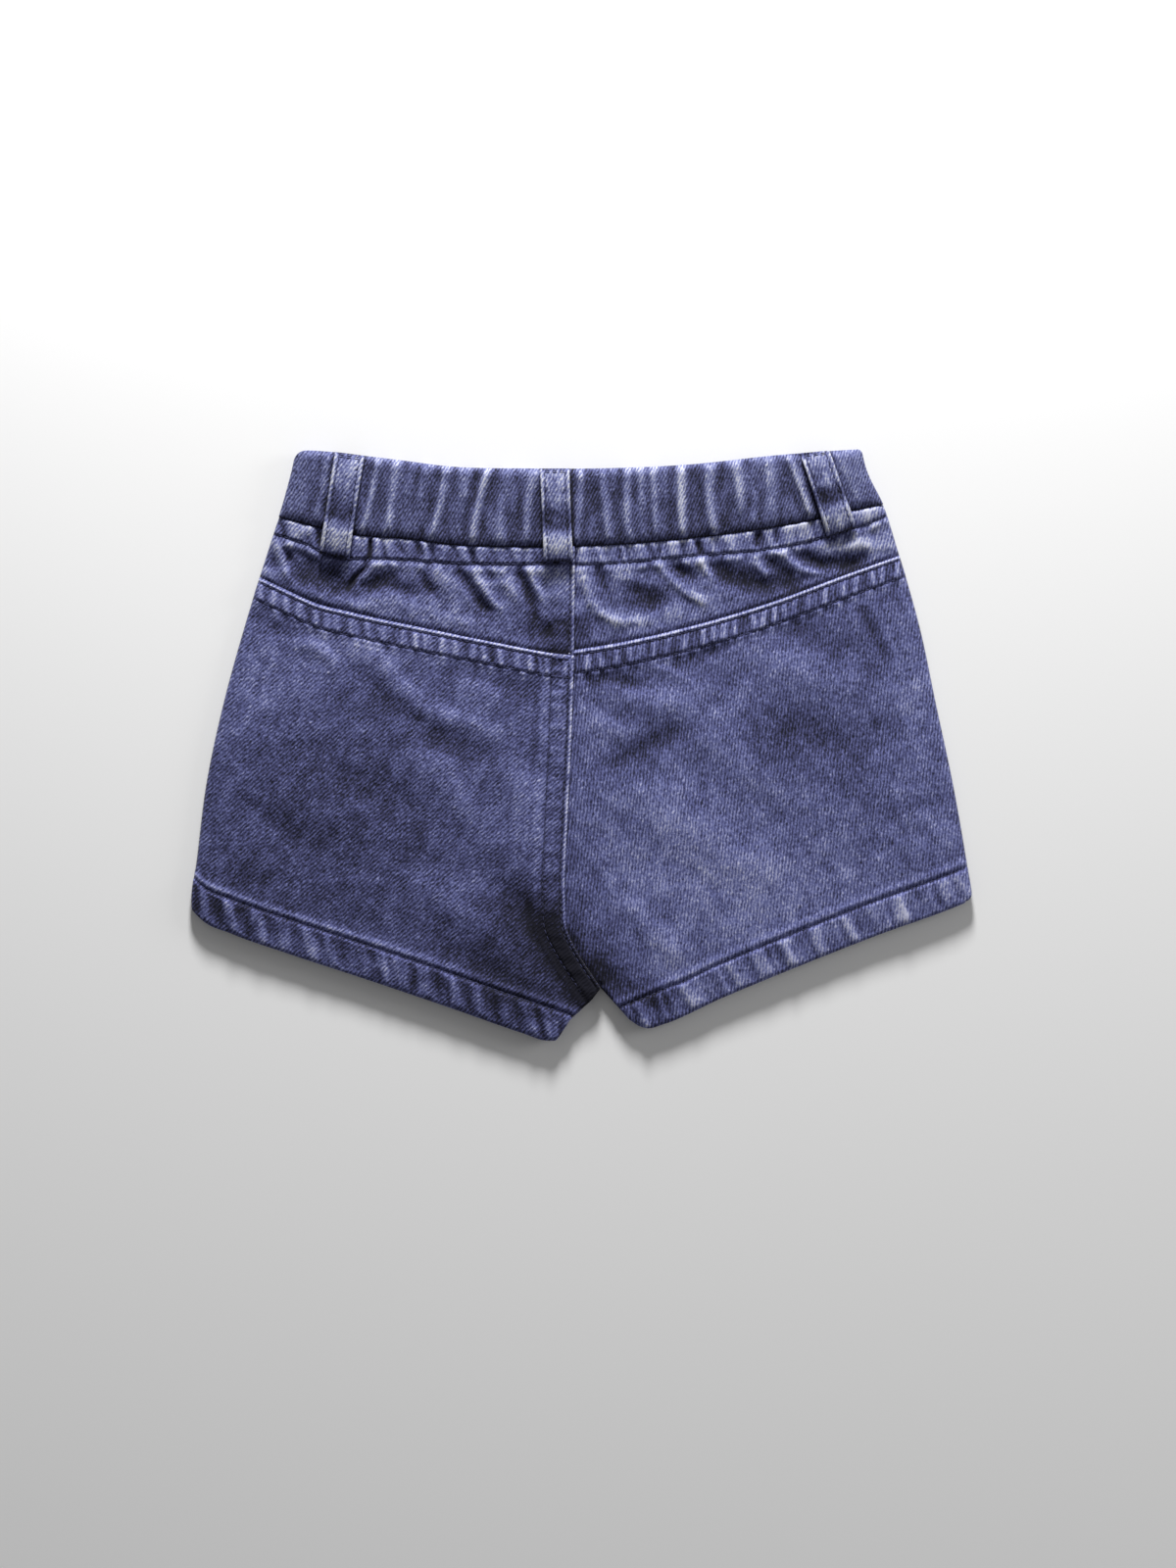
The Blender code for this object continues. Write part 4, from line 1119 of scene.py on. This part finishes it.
left_grid = fill(
    run_x(hem_left, HEM_LEFT[0].x + INSET, HEM_LEFT[-1].x + INSET, INSET),
    run_x(waist_seam, side_left(84.0) + INSET, -0.5 - HALF, -HALF),
    run_y(side_left, hem_left(HEM_LEFT[0].x) + INSET, waist_seam(WAIST_ENDS[0]) - HALF, INSET),
    front_inner(INNER_LEFT, -1),
)
right_grid = fill(
    run_x(hem_right, HEM_RIGHT[0].x - INSET, HEM_RIGHT[-1].x - INSET, INSET),
    run_x(waist_seam, -0.5 + HALF, side_right(89.0) - INSET, -HALF),
    front_inner(INNER_RIGHT, 1),
    run_y(side_right, hem_right(HEM_RIGHT[-1].x) + INSET, waist_seam(WAIST_ENDS[1]) - HALF, -INSET),
)
columns = [(4, 0.8), (110, 1.6), (8, 0.7)]
both_sides(
    "leg_front",
    "front",
    "denim_front",
    (96.0, 84.0),
    (columns, columns[::-1]),
    FRONT_ROWS,
    (left_grid, right_grid),
    (front_relief, front_relief),
    (front_under, front_under),
    1.0,
)


def casing_under(x, y, height=None):
    """The front half's gathers, pressed flat where they rest."""
    gathers = np.clip(band_relief(-x, y)[0] - BAND_FLOOR - BAND_RISE, -0.6, 1.0)
    rise = 1.3 * (1 - roll(np.minimum(waist_top(x) - y, side_gap(x, y)) - INSET, 3.0))
    return np.clip(0.55 - gathers, 0.0, 0.9) * roll(waist_top(x) - y, 5) + rise


def casing_front(x, y):
    return 3.15 - 0.6 * (1 - roll(waist_top(x) - y - INSET, 2.5)), band_relief(-x, y)[1]


shell(
    "casing_front",
    "waistband_front",
    "denim_band",
    90.0,
    spaced((3, 0.5), (218, 0.9), (3, 0.5)),
    spaced((22, 1.0), (4, 0.5)),
    band_grid(INSET, HALF),
    casing_front,
    casing_under,
    1.0,
)


# ---------------------------------------------------------------- the stitches
def one_stitch():
    """A plump little length of thread along X, a unit long each way."""
    bpy.ops.object.select_all(action="DESELECT")
    bpy.ops.mesh.primitive_uv_sphere_add(segments=8, ring_count=6, radius=1.0, rotation=(0, np.pi / 2, 0))
    made = bpy.context.object
    bpy.ops.object.transform_apply(location=True, rotation=True, scale=True)
    points = np.array([v.co for v in made.data.vertices])
    faces = [list(p.vertices) for p in made.data.polygons]
    bpy.data.objects.remove(made)
    points[:, 0] = np.sign(points[:, 0]) * np.abs(points[:, 0]) ** 0.7
    return points, faces


STITCH_POINTS, STITCH_FACES = one_stitch()


def sew(name, rows, proud=0.12):
    """Stitches along rows of (path, surface): a path of (x, y) and the relief of its cloth."""
    vertices, faces = [], []
    for path, surface in rows:
        path = np.array(path, float)
        lengths = np.concatenate([[0], np.cumsum(np.hypot(*np.diff(path, axis=0).T))])
        count = int(lengths[-1] / STITCH_PITCH)
        for at in (np.arange(count) + 0.5) * lengths[-1] / count:
            ends = [at - STITCH_LONG / 2, at + STITCH_LONG / 2]
            x, y = (np.interp(ends, lengths, path[:, i]) for i in (0, 1))
            start, end = np.stack([x, y - MIDDLE_Y, surface(x, y)[0]], axis=-1)
            run = (end - start) / 2
            forward = run / np.linalg.norm(run)
            side = np.cross([0, 0, 1], forward)
            side = side / np.linalg.norm(side)
            up = np.cross(forward, side)
            axes = np.array([run, side * THREAD / 2, up * THREAD / 2])
            base = len(vertices) * len(STITCH_POINTS)
            vertices.append((start + end) / 2 + up * proud + STITCH_POINTS @ axes)
            faces.extend([[base + i for i in face] for face in STITCH_FACES])
    return add_mesh(name, np.concatenate(vertices), faces, navy_thread)


def back_left_relief(x, y):
    return np.where(y < yoke_left(x), leg(True)(x, y)[0], yoke(True)(x, y)[0]), None


def front_face(x, y):
    return front_under(x, y), None


FRONT_PROUD = -0.10  # its threads lie on its under side
SEWN = 90  # points along a row
FIRST, SECOND = FIRST_ROW / SQUARE_YOKE, LAP_ROWS[1] / SQUARE_YOKE
lapped_rows = [
    (run_x(yoke_left, -118.5, -4.0, -FIRST, SEWN), leg(True)),
    (run_x(yoke_left, -120.5, -4.2, -SECOND, SEWN), leg(True)),
    (run_x(yoke_right, 0.2, 117.0, -FIRST, SEWN), leg(False)),
    (run_x(yoke_right, -0.5, 119.5, -SECOND, SEWN), leg(False)),
    (run_y(centre_back, -87, 72, -FELL_ROWS[0]), back_left_relief),
    (run_y(centre_back, -92, 33, -FELL_ROWS[1], SEWN), back_left_relief),
    (run_x(strip_stitch, -113.0, -3.5, 0.0, SEWN), yoke(True)),
    (run_x(strip_stitch, -0.5, 112.5, 0.0, SEWN), yoke(False)),
]
left_lift, right_lift = (HEM_DEPTH / square for square in SQUARE_HEMS)
hem_rows = [
    (run_x(hem_line, -143.0, -4.5, left_lift, SEWN), leg(True)),
    (run_x(hem_line, 14.0, 143.0, right_lift, SEWN), leg(False)),
]
front_rows = [
    run_x(hem_left, -142.0, -8.0, left_lift, SEWN),
    run_x(hem_right, 18.0, 142.0, right_lift, SEWN),
    run_y(front_centre, -72, 72, FRONT_SEAM_ROWS[0], 60),
    run_y(front_centre, -78, 72, FRONT_SEAM_ROWS[1], 60),
]
seam_threads = sew("stitches_seams", lapped_rows)
hem_threads = sew("stitches_hems", hem_rows)
loop_threads = sew("stitches_loops", loop_rows)
front_threads = sew("stitches_front", [(path, front_face) for path in front_rows], FRONT_PROUD)

# ---------------------------------------------------------------- floor, light and camera
bpy.ops.object.select_all(action="DESELECT")
bpy.ops.mesh.primitive_plane_add(size=6.0, location=(0, 0, 0))
floor = bpy.context.object
floor.name = "floor"
paper = Finish("pale_paper", 0.9, specular=0.1)
paper.put(paper.shader.inputs["Base Color"], (0.86, 0.86, 0.86, 1))
floor.data.materials.append(paper.material)


def area_light(name, place, size, power):
    data = bpy.data.lights.new(name, "AREA")
    data.shape, data.size, data.energy = "DISK", size, power
    made = bpy.data.objects.new(name, data)
    made.location = place
    made.rotation_euler = (-Vector(place)).to_track_quat("-Z", "Y").to_euler()
    bpy.context.scene.collection.objects.link(made)
    return made


area_light("key", (-0.01, 1.00, 0.39), 0.24, 20.6)
area_light("side", (1.30, 0.35, 0.45), 0.60, 5.0)
world = bpy.data.worlds.new("studio")
world.use_nodes = True
background = world.node_tree.nodes["Background"].inputs
background["Color"].default_value = (1, 1, 1, 1)
background["Strength"].default_value = 0.20
bpy.context.scene.world = world
bpy.context.scene.view_settings.view_transform = "Standard"

FRAME_TALL = 0.584
CAMERA_HIGH = 1.3
SENSOR = 24.0
camera_data = bpy.data.cameras.new("camera")
camera_data.sensor_fit = "VERTICAL"
camera_data.sensor_height = SENSOR
camera_data.lens = SENSOR * CAMERA_HIGH / FRAME_TALL
camera = bpy.data.objects.new("camera", camera_data)
camera.location = (0.00256, -0.0144, CAMERA_HIGH)
bpy.context.scene.collection.objects.link(camera)
bpy.context.scene.camera = camera

# The flat cut of what shows of each piece, in metres.
Cut = namedtuple("Cut", "piece wide long area held rests_on")
